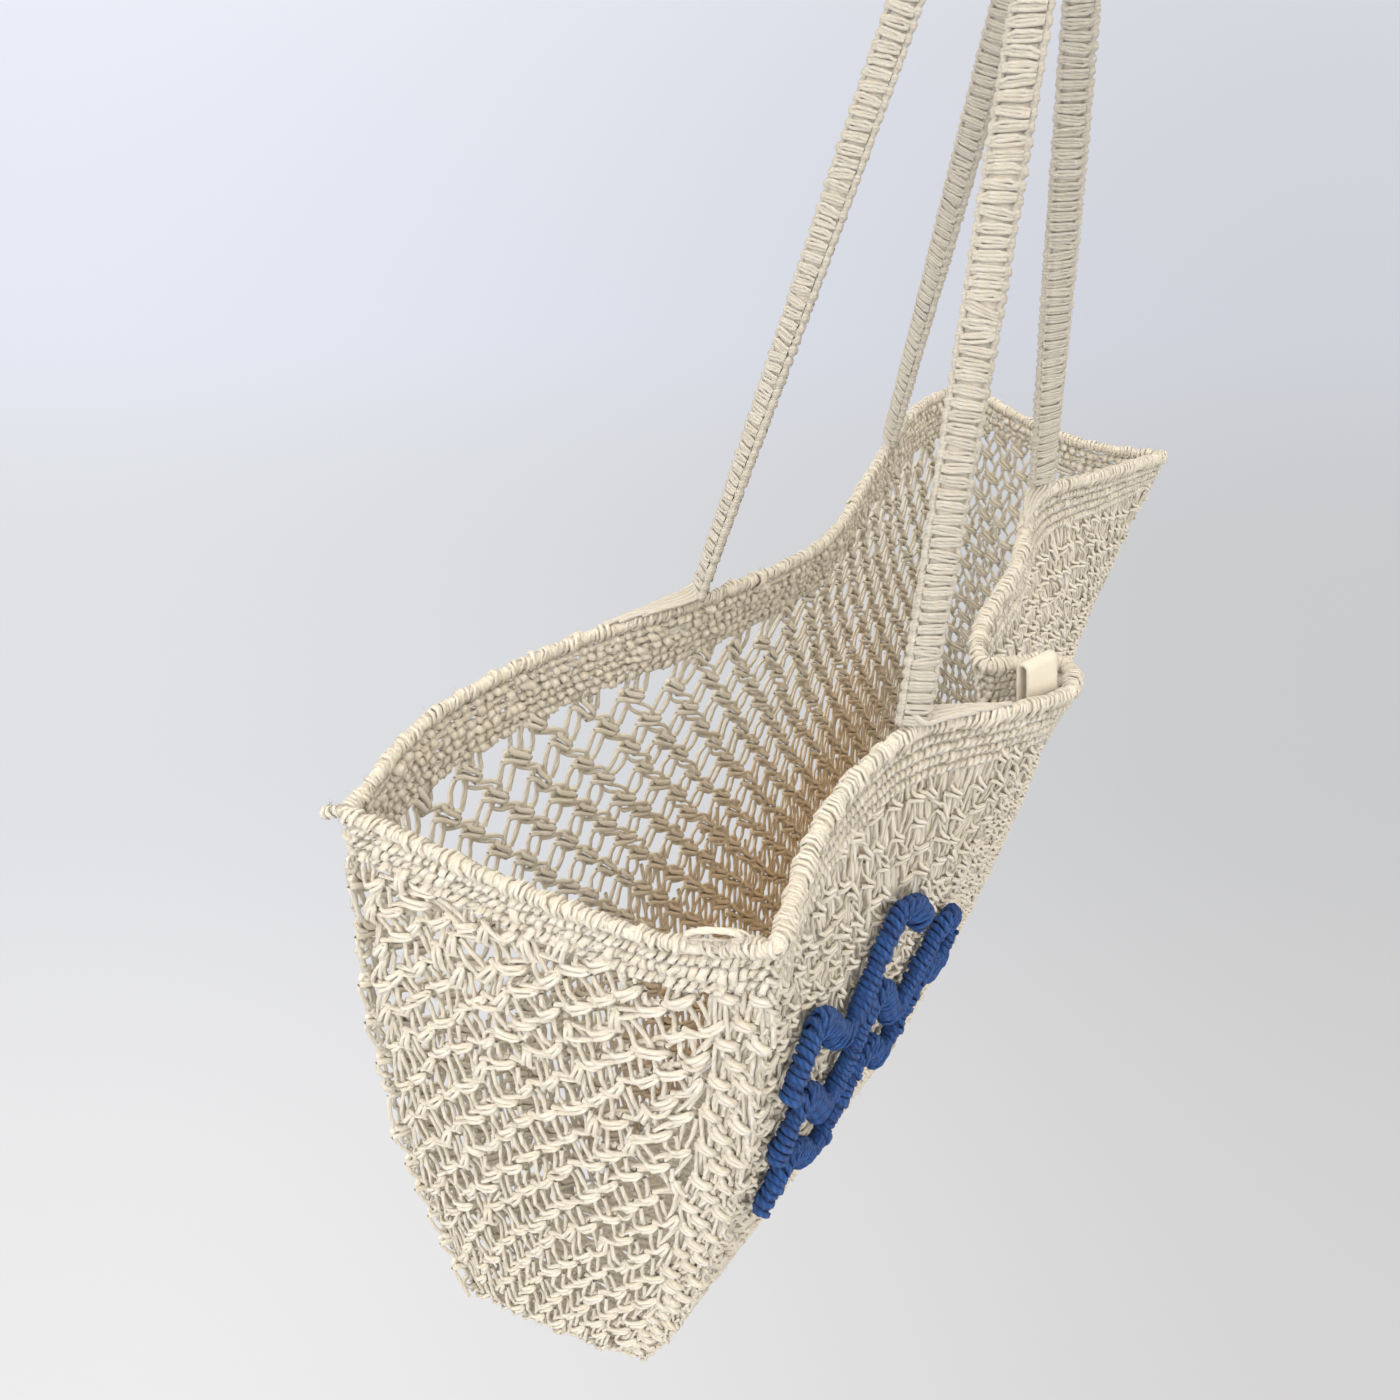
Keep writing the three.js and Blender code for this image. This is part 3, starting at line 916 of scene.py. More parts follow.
    def lay(self, meshes: list[CordMesh], above: float, below: float) -> None:
        """Ties the whole net.

        Args:
            meshes: The meshes that share the height between them, from the top.
            above: The height that the first row's cords come from.
            below: The height that the last row's cords run to.
        """
        self.place_knots()
        everyone = np.arange(len(self.right))
        over = self.knot.crossing()
        crossings = (over, over * (-1, 1, -1)) if self.backs else (over,)
        bundles = [(self.spots(everyone, cord), everyone, True) for cord in crossings]
        tied, loose = self.ties()
        for (side, edge), ties in tied.items():
            upper, lower = np.array(ties).T
            bundles += [(cords, upper, False) for cords in self.pair(side, edge, upper, lower)]
        for (side, way), ends in loose.items():
            knots = np.array(ends)
            limit = above if way < 0 else below
            bundles += [(cords, knots, False) for cords in self.tails(side, way, knots, limit)]
        part = (self.down - self.top) / (self.low - self.top)
        owner = np.clip(part * len(meshes), 0, len(meshes) - 1).astype(int)
        for (cords, knots, tight), (number, mesh) in product(bundles, enumerate(meshes)):
            radius, sides = (self.knot.radius, self.knot.sides) if tight else (self.strand, self.sides)
            chosen = cords[owner[knots] == number]
            if len(chosen):
                parts = self.knot_parts if tight else self.curve_parts
                self.add(mesh, rounded(chosen, parts), radius, radius, sides)
        if self.ground:
            width = self.span[:, 0].mean()
            courses = self.ground.courses(self.draw, width, above, below)
            half_wide = self.ground.wide * self.ground.spread * width / self.ground.count
            self.add(meshes[-1], courses, half_wide, self.ground.thick, sides=4, cell_steps=2)

    def add(
        self, mesh: CordMesh, cords: Array, wide: float, thick: float, sides: int, cell_steps: int = 0
    ) -> None:
        """Lays cords on the surface.

        Args:
            mesh: The mesh that takes them.
            cords: Right, down and lift, as cords by points by three.
            wide: Half the section's width.
            thick: Half the section's thickness.
            sides: The number of corners of the section.
            cell_steps: The steps that share one map cell, or 0 for all of them.
        """
        points, outs = self.surface.lay(cords[..., 0], cords[..., 1], cords[..., 2])
        mesh.lay(points, outs, wide, thick, sides, cell_steps)


@dataclass
class Ridges:
    """The corded ridges under a rim, a step apart."""

    count: int
    winding: Whipping
    step: float
    start: float
    samples: int = 240

    @property
    def depth(self) -> float:
        """Millimetres from the top edge to the last of them."""
        return self.start + self.step * (self.count - 1)

    def lay(self, mesh: CordMesh, surface: Surface, height: float) -> None:
        """Winds every ridge.

        Args:
            mesh: The mesh that takes them.
            surface: The wall that they lie on.
            height: The wall's height in millimetres.
        """
        right = np.linspace(0, 1, self.samples)
        for ridge in range(self.count):
            down = (self.start + self.step * ridge) / height
            self.winding.lay(mesh, *surface.lay(right, np.full_like(right, down), 0.0))


@dataclass
class Panel:
    """A knotted wall: corded ridges under its rim, and the net below them."""

    name: str
    node: str
    net: Net
    seed: int
    ridges: Ridges | None = None
    pieces: int = 1
    fuzz: float = 0.0
    samples: int = 240
    knot_room: float = 0.35
    clear: float = 1.0

    def build(self, cotton: Material) -> list[Piece]:
        """Makes the wall's pieces.

        Args:
            cotton: The finish of its cords.

        Returns:
            The net's pieces, and the band of ridges where it has one.
        """
        surface = self.net.surface
        names = [self.name] if self.pieces == 1 else [f"{self.name}_{i + 1}" for i in range(self.pieces)]
        meshes = [CordMesh(name, self.seed + i) for i, name in enumerate(names)]
        right = np.linspace(0, 1, self.samples)
        _, fall = surface.steps(right, np.zeros_like(right))
        height = float(np.linalg.norm(fall, axis=-1).mean())
        above = 0.0
        if self.ridges:
            above = self.ridges.depth / height
            room = self.ridges.step / 2 + self.knot_room * self.net.knot.reach + self.clear
            self.net.top = above + room / height
            band = CordMesh(f"{self.name}_band", self.seed + len(meshes))
            self.ridges.lay(band, surface, height)
            meshes.append(band)
        self.net.lay(meshes[: self.pieces], above, 1.0)
        return [mesh.build((self.node,), Slot.COTTON, cotton, self.fuzz) for mesh in meshes]


@dataclass
class Seams:
    """The whipped cords that join the walls at the corners and round the base."""

    walls: tuple[Wall, ...]
    corners: tuple[tuple[Wall, float], ...]
    name: str = "corner_and_base_seams"
    seed: int = 36
    samples: int = 160
    winding: Whipping = Whipping(
        half_out=1.1, half_up=1.4, yarn_wide=0.8, yarn_thick=0.75, pitch=6.0,
        slant=1.0, lean=1.2, wander=0.3, sway=0.6, unevenness=0.28, core=0.45,
    )

    def build(self, cotton: Material) -> Piece:
        """Makes the seams.

        Args:
            cotton: The finish of their yarn.

        Returns:
            One piece with all of them.
        """
        mesh = CordMesh(self.name, self.seed)
        way = np.linspace(0, 1, self.samples)
        for wall, right in self.corners:
            self.winding.lay(mesh, *wall.lay(np.full_like(way, right), way, 0.0))
        for wall in self.walls:
            self.winding.lay(mesh, *wall.lay(way, np.ones_like(way), 0.0))
        return mesh.build((), Slot.COTTON, cotton)


def roll_winding(radius: float) -> Whipping:
    """The yarn round a roll.

    Args:
        radius: The roll's radius.

    Returns:
        The winding, whose outside is a little uneven.
    """
    pitch, yarn = 1.8, 0.55
    sunk, share = 0.75, 0.47
    half = radius - yarn * sunk
    return Whipping(
        half_out=half, half_up=half, yarn_wide=pitch * share, yarn_thick=yarn, pitch=pitch,
        slant=0.7, lean=0.7, wander=0.3, sway=0.3, unevenness=0.13, core=0.92,
    )


@dataclass
class Rim:
    """The whipped roll along the top edge of a wall."""

    node: str
    curve: SmoothCurve
    radius: float
    strip: float
    seed: int
    fuzz: float = 0.08
    seat: float = 0.6
    samples: int = 300

    def build(self, cotton: Material) -> Piece:
        """Makes the roll.

        Args:
            cotton: The finish of its yarn.

        Returns:
            The piece.
        """
        share = self.strip / self.curve.length
        part = np.linspace(share, 1 - share, self.samples)
        path = self.curve.at(part) + UP * (self.radius + self.seat)
        outs = unit(np.cross(self.curve.tangent(part), UP))
        mesh = CordMesh(f"{self.node}_whipping", self.seed)
        roll_winding(self.radius).lay(mesh, path, outs)
        return mesh.build((self.node,), Slot.COTTON, cotton, self.fuzz)


@dataclass
class CornerTies:
    """The whipped bends that join the rolls at the corners, with a few loose ends.

    Each row of loops gives the size and the outward lean of a loop.
    """

    bends: tuple[tuple[Wall, Wall, float, float], ...]
    loop_wall: Wall
    name: str = "corner_ties"
    seed: int = 37
    fuzz: float = 0.1
    run: float = 11.0
    seat: float = 0.6
    radius: float = 2.9
    samples: int = 60
    loops: tuple[Span, ...] = ((1.0, 0.5), (0.66, 0.9), (0.8, 0.15))
    loop_place: float = 0.11
    loop_half: Span = (7.5, 5.5)
    loop_turn: Span = (-0.35 * math.pi, 1.35 * math.pi)
    loop_stray: float = 2.5
    loop_rise: float = 0.6
    loop_samples: int = 22
    loop_stand: float = 2.0
    loop_cord: float = 0.95
    thin_cord: float = 0.38
    stub: float = 7.0
    stub_radius: float = 2.1
    stub_drop: float = 0.35
    stub_samples: int = 14

    def bend(self, first: Wall, second: Wall, start: float, end: float) -> tuple[Array, Array]:
        """The middle line round one corner.

        Args:
            first: The wall that it comes from.
            second: The wall that it runs to.
            start: The end of the first wall's rim at the corner, 0 or 1.
            end: The end of the second wall's rim at the corner, 0 or 1.

        Returns:
            Its points, and the direction out of the bag at each.
        """
        stops = []
        for wall, at in ((first, start), (second, end)):
            share = self.run / wall.rim.length
            stops.append(wall.rim.at(abs(at - share)))
        line = SmoothCurve([stops[0], first.rim.at(start), stops[1]])
        part = np.linspace(0, 1, self.samples)
        outs = unit(np.cross(line.tangent(part), UP))
        return line.at(part) + UP * (self.radius + self.seat), outs

    def slack_loops(self, draw: np.random.Generator) -> tuple[Array, Array]:
        """The loops that stand on the near rim.

        Args:
            draw: Random draws for their places.

        Returns:
            Their points, as loops by points by three, and the direction out at each.
        """
        rim = self.loop_wall.rim
        tangent, middle = rim.tangent(self.loop_place), rim.at(self.loop_place)
        out = unit(np.cross(UP, tangent))
        angle = np.linspace(*self.loop_turn, self.loop_samples)
        lines = []
        for size, lean in self.loops:
            wide, tall = np.array(self.loop_half) * size
            rest = 2 * self.radius + self.loop_rise * tall
            shift = tangent * draw.normal(0, self.loop_stray) + UP * rest
            rise = unit(UP + out * lean)
            ring = tangent * (wide * np.cos(angle))[:, None] + rise * (tall * np.sin(angle))[:, None]
            lines.append(middle + shift + ring + out * self.loop_stand)
        points = np.stack(lines)
        return points, np.broadcast_to(out + OFF_LINE, points.shape)

    def build(self, cotton: Material) -> Piece:
        """Makes the bends and the loose ends.

        Args:
            cotton: The finish of their yarn.

        Returns:
            One piece with all of them.
        """
        mesh = CordMesh(self.name, self.seed)
        for bend in self.bends:
            roll_winding(self.radius).lay(mesh, *self.bend(*bend))
        points, outs = self.slack_loops(mesh.draw)
        thick, thin = (self.loop_cord, self.loop_cord), (self.thin_cord, self.thin_cord)
        mesh.lay(points[:1], outs[:1], *thick, sides=6, cell_steps=7, capped=True)
        mesh.lay(points[1:], outs[1:], *thin, sides=5, cell_steps=7, capped=True)
        tangent, corner = self.loop_wall.rim.tangent(1.0), self.loop_wall.rim.at(1.0)
        way = unit(tangent - UP * self.stub_drop)
        start = corner + UP * (self.radius + self.seat) + tangent
        line = start + way * np.linspace(0, self.stub, self.stub_samples)[:, None]
        side = np.broadcast_to(unit(np.cross(way, UP)), line.shape)
        roll_winding(self.stub_radius).lay(mesh, line, side)
        return mesh.build((), Slot.COTTON, cotton, self.fuzz)


@dataclass
class Handle:
    """A flat knotted strap: two legs from the rim, bent over the hanging place.

    Bars of fine yarn cross both its faces, a column of loops runs down each edge, and at each end
    its cords turn and lie along the roll.
    """

    node: str
    rim: SmoothCurve
    roll: float
    near: float
    far: float
    near_turn: int
    far_turn: int
    twist: float
    side: int
    seed: int
    pull: Span = (0.0, 0.0)
    seat: float = 0.9
    reach: float = 45.0
    rise: float = 24.0
    apart: float = 13.8
    stagger: float = 18.0
    twist_ends: float = 0.8
    half_wide: float = 4.6
    lift: float = 1.9
    pitch: float = 3.6
    bar_places: tuple[float, ...] = (-1.0, -0.5, 0.5, 1.0)
    bar_yarns: int = 3
    bar_gather: float = 0.42
    bar_sink: float = 0.34
    bar_stray: float = 0.05
    bar_tilt: float = 0.1
    yarn: float = 0.74
    yarn_step: float = 0.31
    yarn_stray: float = 0.04
    yarn_unevenness: float = 0.06
    face_lean: float = 0.12
    edge: float = 4.6
    edge_wide: float = 1.55
    edge_thick: float = 2.1
    edge_swell: float = 0.2
    edge_stray: float = 0.02
    loop_size: Span = (0.7, 0.34)
    loop_unevenness: float = 0.05
    loop_points: int = 3
    core_thick: float = 0.84
    core_inset: float = 0.2
    core_samples: int = 120
    foot_start: float = 5.0
    foot_length: float = 38.0
    foot_cords: int = 5
    foot_cord: Span = (0.95, 0.9)
    foot_lengths: Span = (0.8, 0.2)
    foot_round: float = 1.3
    foot_samples: int = 14
    foot_step: float = 1.75
    lead_step: float = 1.5
    samples: int = 400
    line: Array = field(init=False)
    wide: Array = field(init=False)
    face: Array = field(init=False)
    run: Array = field(init=False)

    # Part of a foot's length, part of its width there, and millimetres above the roll
    FOOT_COURSE = (
        (0.08, 1.0, 1.7), (0.3, 0.95, 1.0), (0.55, 0.8, 0.8), (0.8, 0.62, 0.5), (1.0, 0.42, -0.2),
    )

    def __post_init__(self) -> None:
        """Draws the strap's middle line and its width direction."""
        step = UP * (2 * self.roll + self.seat)
        feet = [self.rim.at(part) + step for part in (self.near, self.far)]
        shift = np.array([self.stagger, self.apart, 0.0]) * self.side / 2
        apex = GRIP + UP * self.rise + shift
        ups = [unit(apex - foot) for foot in feet]
        shoulders = [apex - up * self.reach for up in ups]
        shoulders[1] = shoulders[1] + (self.pull[0], -self.pull[1], 0.0)
        part = np.linspace(0, 1, self.samples)[:, None]
        near_leg = lerp(feet[0], shoulders[0], part)
        far_leg = lerp(shoulders[1], feet[1], part)
        bend = lerp(lerp(shoulders[0], apex, part), lerp(apex, shoulders[1], part), part)
        self.line = np.vstack([near_leg, bend[1:-1], far_leg])
        along = unit(np.gradient(self.line, axis=0))
        axis = along.copy()
        axis[-self.samples :] *= -1
        across = np.array([0.0, 1.0, 0.0])
        flat = unit(across - axis * (axis @ across)[:, None])
        turn = self.twist * (1 - smoothstep(part[:, 0], 0.0, self.twist_ends))
        angles = np.concatenate([turn, np.zeros(self.samples - 2), turn[::-1]])
        self.wide = turned(flat, axis, angles)
        self.face = np.cross(along, self.wide)
        self.run = lengths_along(self.line)

    def spot(self, across: Array, along: Array, out: Array) -> tuple[Array, Array]:
        """Places on the strap.

        Args:
            across: Millimetres from its middle line, in its width.
            along: Millimetres from its near foot.
            out: Millimetres from its middle, in its thickness.

        Returns:
            The places, and the direction out of the strap at each.
        """
        at = np.clip(along, 0.0, self.run[-1])
        middle, wide, face = (read_at(at, self.run, rows) for rows in (self.line, self.wide, self.face))
        place = middle + wide * across[:, None] + face * out[:, None]
        lean = wide * (self.face_lean * across)[:, None]
        return place, face * np.where(out < 0, -1.0, 1.0)[:, None] + lean

    def bars(self, front: int, draw: np.random.Generator) -> tuple[Array, Array]:
        """The fine yarns that cross one face of the strap, a few side by side in each bar.

        Args:
            front: 1 on the strap's face, -1 on its back.
            draw: Random draws for small unevenness.

        Returns:
            The yarns' places, as yarns by points by three, and the direction out at each.
        """
        count = round(self.run[-1] / self.pitch)
        pitch = self.run[-1] / count
        place = np.array(self.bar_places)
        gather, sink = 1 - self.bar_gather * place**2, 1 - self.bar_sink * place**4
        middle = (np.arange(count) + 0.5 + draw.normal(0, self.bar_stray, count)) * pitch
        tilt = draw.normal(0, self.bar_tilt * pitch, count)
        row = (np.arange(self.bar_yarns) - (self.bar_yarns - 1) / 2) * self.yarn_step * pitch
        along = middle[:, None, None] + row[:, None] * gather + tilt[:, None, None] * place
        along = along + draw.normal(0, self.yarn_stray * pitch, along.shape)
        size = draw.normal(1.0, self.yarn_unevenness, (count, self.bar_yarns, 1))
        out = front * self.lift * sink * size
        across = np.broadcast_to(place * self.half_wide, along.shape)
        points, outs = self.spot(across.ravel(), along.ravel(), out.ravel())
        return points.reshape(-1, len(place), 3), outs.reshape(-1, len(place), 3)

    def lay_column(self, mesh: CordMesh, side: int, draw: np.random.Generator) -> None:
        """Adds the row of loops down one edge, one for each bar.

        Args:
            mesh: The mesh that takes it.
            side: -1 or 1, the edge.
            draw: Random draws for small unevenness.
        """
        loops = round(self.run[-1] / self.pitch)
        phase = np.arange(self.loop_points * loops + 1) / self.loop_points
        swell = 0.5 - 0.5 * np.cos(2 * np.pi * phase)
        loose = draw.normal(1.0, self.loop_unevenness, len(phase))
        stray = draw.normal(1.0, self.edge_stray, len(phase))
        across = side * (self.edge + self.edge_swell * swell) * stray
        points, outs = self.spot(across, phase / loops * self.run[-1], np.zeros(len(phase)))
        least, more = self.loop_size
        size = (least + more * swell) * loose
        wide, thick = self.edge_wide * size, self.edge_thick * size
        mesh.lay(points[None], outs[None], wide, thick, cell_steps=self.loop_points, capped=True)

    def foot(self, at: float, turn: int, height: float) -> tuple[Array, Array]:
        """The strap's cords that lie along the roll at one end.

        Args:
            at: Where the strap stands, as a part of the rim's length.
            turn: 1 where they run towards the far end, -1 towards the near end.
            height: Where they leave the strap, in millimetres from its near foot.

        Returns:
            The cords' places, and the direction up at each.
        """
        start, wide = (read_at(height, self.run, rows) for rows in (self.line, self.wide))
        share, taper, above = np.array(self.FOOT_COURSE).T
        runs = []
        for cord in range(self.foot_cords):
            place = cord - (self.foot_cords - 1) / 2
            least, more = self.foot_lengths
            length = self.foot_length * (least + more * math.cos(place * self.foot_round))
            parts = at + turn * share * length / self.rim.length
            side = unit(np.cross(self.rim.tangent(parts), UP))
            lie = self.rim.at(parts) + UP * (2 * self.roll + self.seat + above)[:, None]
            lie = lie + side * (place * self.foot_step * taper * turn)[:, None]
            lead = start + wide * place * self.lead_step
            curve = SmoothCurve(np.vstack([lead, lie]))
            runs.append(curve.at(np.linspace(0, 1, self.foot_samples)))
        points = np.stack(runs)
        return points, np.broadcast_to(UP + OFF_LINE, points.shape)

    def build(self, cotton: Material) -> Piece:
        """Makes the strap and its feet.

        Args:
            cotton: The finish of its cords.

        Returns:
            The piece.
        """
        mesh = CordMesh(f"{self.node}_knots", self.seed)
        draw = np.random.default_rng(self.seed)
        for front in (1, -1):
            mesh.lay(*self.bars(front, draw), self.yarn, self.yarn, sides=4)
            self.lay_column(mesh, front, draw)
        core = np.linspace(0, self.run[-1], self.core_samples)
        middle, face = (read_at(core, self.run, rows) for rows in (self.line, self.face))
        size = (self.edge - self.core_inset, self.lift * self.core_thick)
        mesh.lay(middle[None], face[None], *size, sides=8, cell_steps=2, capped=True)
        far_start = self.run[-1] - self.foot_start
        feet = [(self.near, self.near_turn, self.foot_start), (self.far, self.far_turn, far_start)]
        for foot in feet:
            mesh.lay(*self.foot(*foot), *self.foot_cord, cell_steps=7, capped=True)
        return mesh.build((self.node,), Slot.COTTON, cotton)


@dataclass
class Wave:
    """A thick blue cord that rises and falls along the outside of the front wall."""

    node: str
    wall: Wall
    middle: float
    end: float
    crests: float
    seed: int
    half_wide: float = 5.5
    half_thick: float = 3.6
    stand: float = 5.9
    height: float = 0.05
    start: float = 0.03
    yarn: float = 0.85
    samples: int = 420

    def build(self, blue: Material) -> Piece:
        """Makes the cord.

        Args:
            blue: The finish of its yarn.

        Returns:
            The piece.
        """
        part = np.linspace(0, 1, self.samples)
        right = lerp(self.start, self.end, part)
        down = self.middle - self.height * np.sin(2 * np.pi * self.crests * part)
        winding = Whipping(
            half_out=self.half_thick - self.yarn, half_up=self.half_wide - self.yarn, yarn_wide=1.3,
            yarn_thick=self.yarn, pitch=2.4, per_turn=12, sides=5, slant=1.6, lean=0.5, wander=0.16,
            sway=0.25, unevenness=0.09, core=0.9,
        )
        mesh = CordMesh(f"{self.node}_yarn", self.seed)
        winding.lay(mesh, *self.wall.lay(right, down, self.stand))
        return mesh.build((self.node,), Slot.BLUE, blue)


@dataclass
class Label:
    """A small bare strip of woven cloth, folded over and standing behind the roll."""

    rim: SmoothCurve
    node: str = "label"
    name: str = "label_strip"
    width: float = 15.0
    height: float = 15.0
    cloth: float = 1.0
    hollow: float = 3.0
    along: float = 0.325
    raised: float = 1.4
    lean: float = -0.2
    clear: float = 0.7
    roll: float = 3.2
    leg_steps: int = 6
    fold_steps: int = 12
    width_steps: int = 8

    @property
    def leg(self) -> float:
        """The height of the straight part under the fold."""
        return self.height - self.hollow / 2 - self.cloth

    def outline(self, inner: bool) -> Array:
        """One face of the folded strip, from its front foot over the fold to its back foot.

        Args:
            inner: Whether it is the face inside the fold.

        Returns:
            Its points in rows: through the fold, and up.
        """
        turn = self.hollow / 2 + (0.0 if inner else self.cloth)
        legs = np.linspace(0, self.leg, self.leg_steps + 1)[:-1]
        front = np.stack([np.full(self.leg_steps, -turn), legs], axis=-1)
        angle = np.linspace(np.pi, 0, self.fold_steps + 1)
        fold = np.stack([turn * np.cos(angle), self.leg + turn * np.sin(angle)], axis=-1)
        return np.vstack([front, fold, front[::-1] * (-1, 1)])

    def build(self, cloth: Material) -> Piece:
        """Makes the strip.

        Args:
            cloth: Its finish.

        Returns:
            The piece, a folded sheet.
        """
        tangent = unit(self.rim.tangent(self.along) * (1, 1, 0))
        inward = np.cross(UP, tangent)
        rise = turned(UP[None], tangent[None], np.array([self.lean]))[0]
        through = np.cross(rise, tangent)
        stand = self.roll + self.clear + self.hollow / 2 + self.cloth
        foot = self.rim.at(self.along) + inward * stand + UP * self.raised
        across = np.linspace(-0.5, 0.5, self.width_steps + 1) * self.width
        rows = []
        for outline in (self.outline(False), self.outline(True)):
            spread = foot + through * outline[:, :1] + rise * outline[:, 1:]
            rows.append(spread[:, None] + tangent * across[:, None])
        grid = np.stack(rows)
        outer, inner = np.arange(grid[..., 0].size).reshape(grid.shape[:3])
        faces = self.patch(outer) + self.patch(inner[:, ::-1])
        for edge in (0, -1):
            faces += self.patch(np.stack([inner[:, edge], outer[:, edge]], 1)[:: -1 if edge else 1])
            faces += self.patch(np.stack([inner[edge], outer[edge]], 0)[:: -1 if edge else 1])
        mesh = bpy.data.meshes.new(self.name)
        mesh.from_pydata(((grid.reshape(-1, 3) - GRIP) * MM).tolist(), [], faces)
        mesh.shade_smooth()
        mesh.materials.append(cloth)
        piece = placed(self.name, mesh)
        dress(piece, (self.node,), Slot.LABEL)
        length = 2 * self.leg + math.pi * (self.hollow + self.cloth) / 2
        LOG.info("%s: flat %.1f by %.1f mm", self.name, self.width, length)
        return piece

    @staticmethod
    def patch(index: Array) -> list[list[int]]:
        """The four-cornered faces of a grid of vertices."""
        corners = [index[:-1, :-1], index[:-1, 1:], index[1:, 1:], index[1:, :-1]]
        return np.stack(corners, axis=-1).reshape(-1, 4).tolist()


class NodeTree:
    """A node tree that is written one node a line."""

    def __init__(self, tree: bpy.types.NodeTree) -> None:
        """Starts from an empty tree."""
        self.tree = tree
        tree.nodes.clear()

    @classmethod
    def of(cls, owner: Material | bpy.types.World) -> "NodeTree":
        """The emptied tree of a material or of the surround."""
        owner.use_nodes = True
        return cls(owner.node_tree)

    def add(self, kind: str, links: dict | None = None, **settings: object) -> bpy.types.Node:
        """Adds a node.

        Args:
            kind: The node's type.
            links: Its inputs by name or number: a socket to link, or a value.
            settings: Its own properties.

        Returns:
            The node.
        """
        node = self.tree.nodes.new(kind)
        for name, value in settings.items():
            setattr(node, name, value)
        for name, value in (links or {}).items():
            if isinstance(value, Socket):
                self.tree.links.new(value, node.inputs[name])
            else:
                node.inputs[name].default_value = value
        return node

    def math(self, operation: str, *values: object) -> Socket:
        """The result of a sum on sockets or numbers."""
        return self.add("ShaderNodeMath", dict(enumerate(values)), operation=operation).outputs[0]

    def mix(self, factor: object, low: object, high: object, blend: str = "MIX") -> Socket:
        """Mixes two colours.

        Args:
            factor: The share of the second one, a socket or a number.
            low: The first one, a socket or three numbers.
            high: The second one, in the same way.
            blend: How the second one acts on the first.

        Returns:
            The mixed colour.
        """
        low, high = ((*value, 1) if isinstance(value, tuple) else value for value in (low, high))
        links = {0: factor, 6: low, 7: high}
        return self.add("ShaderNodeMix", links, data_type="RGBA", blend_type=blend).outputs[2]

    def dot(self, vector: Socket, way: Place) -> Socket:
        """How far a vector points along a fixed direction."""
        node = self.add("ShaderNodeVectorMath", {0: vector, 1: way}, operation="DOT_PRODUCT")
        return node.outputs["Value"]

    def ramp(self, value: Socket, span: Span, ends: Span = (0.0, 1.0)) -> Socket:
        """An even change from one end to the other as a value crosses a span.

        Args:
            value: The value.
            span: Where the change begins and where it is done.
            ends: What it changes from and to.

        Returns:
            The changing number.
        """
        limits = {"From Min": span[0], "From Max": span[1], "To Min": ends[0], "To Max": ends[1]}
        links = {"Value": value, **limits}
        return self.add("ShaderNodeMapRange", links, interpolation_type="SMOOTHSTEP").outputs[0]

    def bump(self, height: Socket, strength: float, depth: float) -> Socket:
        """The direction of a surface with this relief, of a depth in millimetres."""
        links = {"Height": height, "Strength": strength, "Distance": depth * MM}
        return self.add("ShaderNodeBump", links).outputs[0]

    def surface(self, links: dict) -> None:
        """Ends a material's tree with a surface that has these inputs."""
        shader = self.add("ShaderNodeBsdfPrincipled", links)
        self.add("ShaderNodeOutputMaterial", {"Surface": shader.outputs[0]})


class TwistedYarn:
    """The node group for twisted yarn: each map cell is a short length of it."""

    NAME = "twisted_yarn"
    FIBRE_RUN = 2.0
    FIBRE_TWIST = 1.3
    FIBRE_SCALE = 2.4
    FIBRE_DETAIL = 3.0
    STRANDS_APART = 60.0

    @classmethod
    def group(cls) -> bpy.types.ShaderNodeTree:
        """The group, built once.

        Returns:
            A group with the inputs Plies and Turns, and the outputs Tone, Ply and Fibre.
        """
        if cls.NAME in bpy.data.node_groups:
            return bpy.data.node_groups[cls.NAME]
        group = bpy.data.node_groups.new(cls.NAME, "ShaderNodeTree")
        for name in ("Plies", "Turns"):
            group.interface.new_socket(name, in_out="INPUT", socket_type="NodeSocketFloat")
        for name in ("Tone", "Ply", "Fibre"):
            group.interface.new_socket(name, in_out="OUTPUT", socket_type="NodeSocketFloat")
        tree = NodeTree(group)
        given = tree.add("NodeGroupInput")
        place = tree.add("ShaderNodeUVMap", uv_map=CORD_MAP)
        parts = tree.add("ShaderNodeSeparateXYZ", {0: place.outputs[0]})
        cells = [tree.math("MULTIPLY", parts.outputs[axis], float(MAP_CELLS)) for axis in (0, 1)]
        numbers = [tree.math("FLOOR", cell) for cell in cells]
        along, around = (tree.math("FRACT", cell) for cell in cells)
        number = tree.add("ShaderNodeCombineXYZ", {0: numbers[0], 1: numbers[1]})
        tone = tree.add("ShaderNodeTexWhiteNoise", {"Vector": number.outputs[0]}, noise_dimensions="2D")
        wound = tree.math("MULTIPLY", along, given.outputs["Turns"])
        plied = tree.math("MULTIPLY", around, given.outputs["Plies"])
        phase = tree.math("MULTIPLY", tree.math("ADD", wound, plied), math.tau)
        ply = tree.math("MULTIPLY_ADD", tree.math("SINE", phase), 0.5, 0.5)
        lengthwise = tree.math("MULTIPLY", wound, cls.FIBRE_RUN)
        crosswise = tree.math("MULTIPLY_ADD", phase, cls.FIBRE_TWIST, around)
        apart = tree.math("MULTIPLY", tone.outputs[0], cls.STRANDS_APART)
        fine = tree.add("ShaderNodeCombineXYZ", {0: lengthwise, 1: crosswise, 2: apart})
        links = {"Vector": fine.outputs[0], "Scale": cls.FIBRE_SCALE, "Detail": cls.FIBRE_DETAIL}
        fibre = tree.add("ShaderNodeTexNoise", links)
        tree.add("NodeGroupOutput", {"Tone": tone.outputs[0], "Ply": ply, "Fibre": fibre.outputs[0]})
        return group


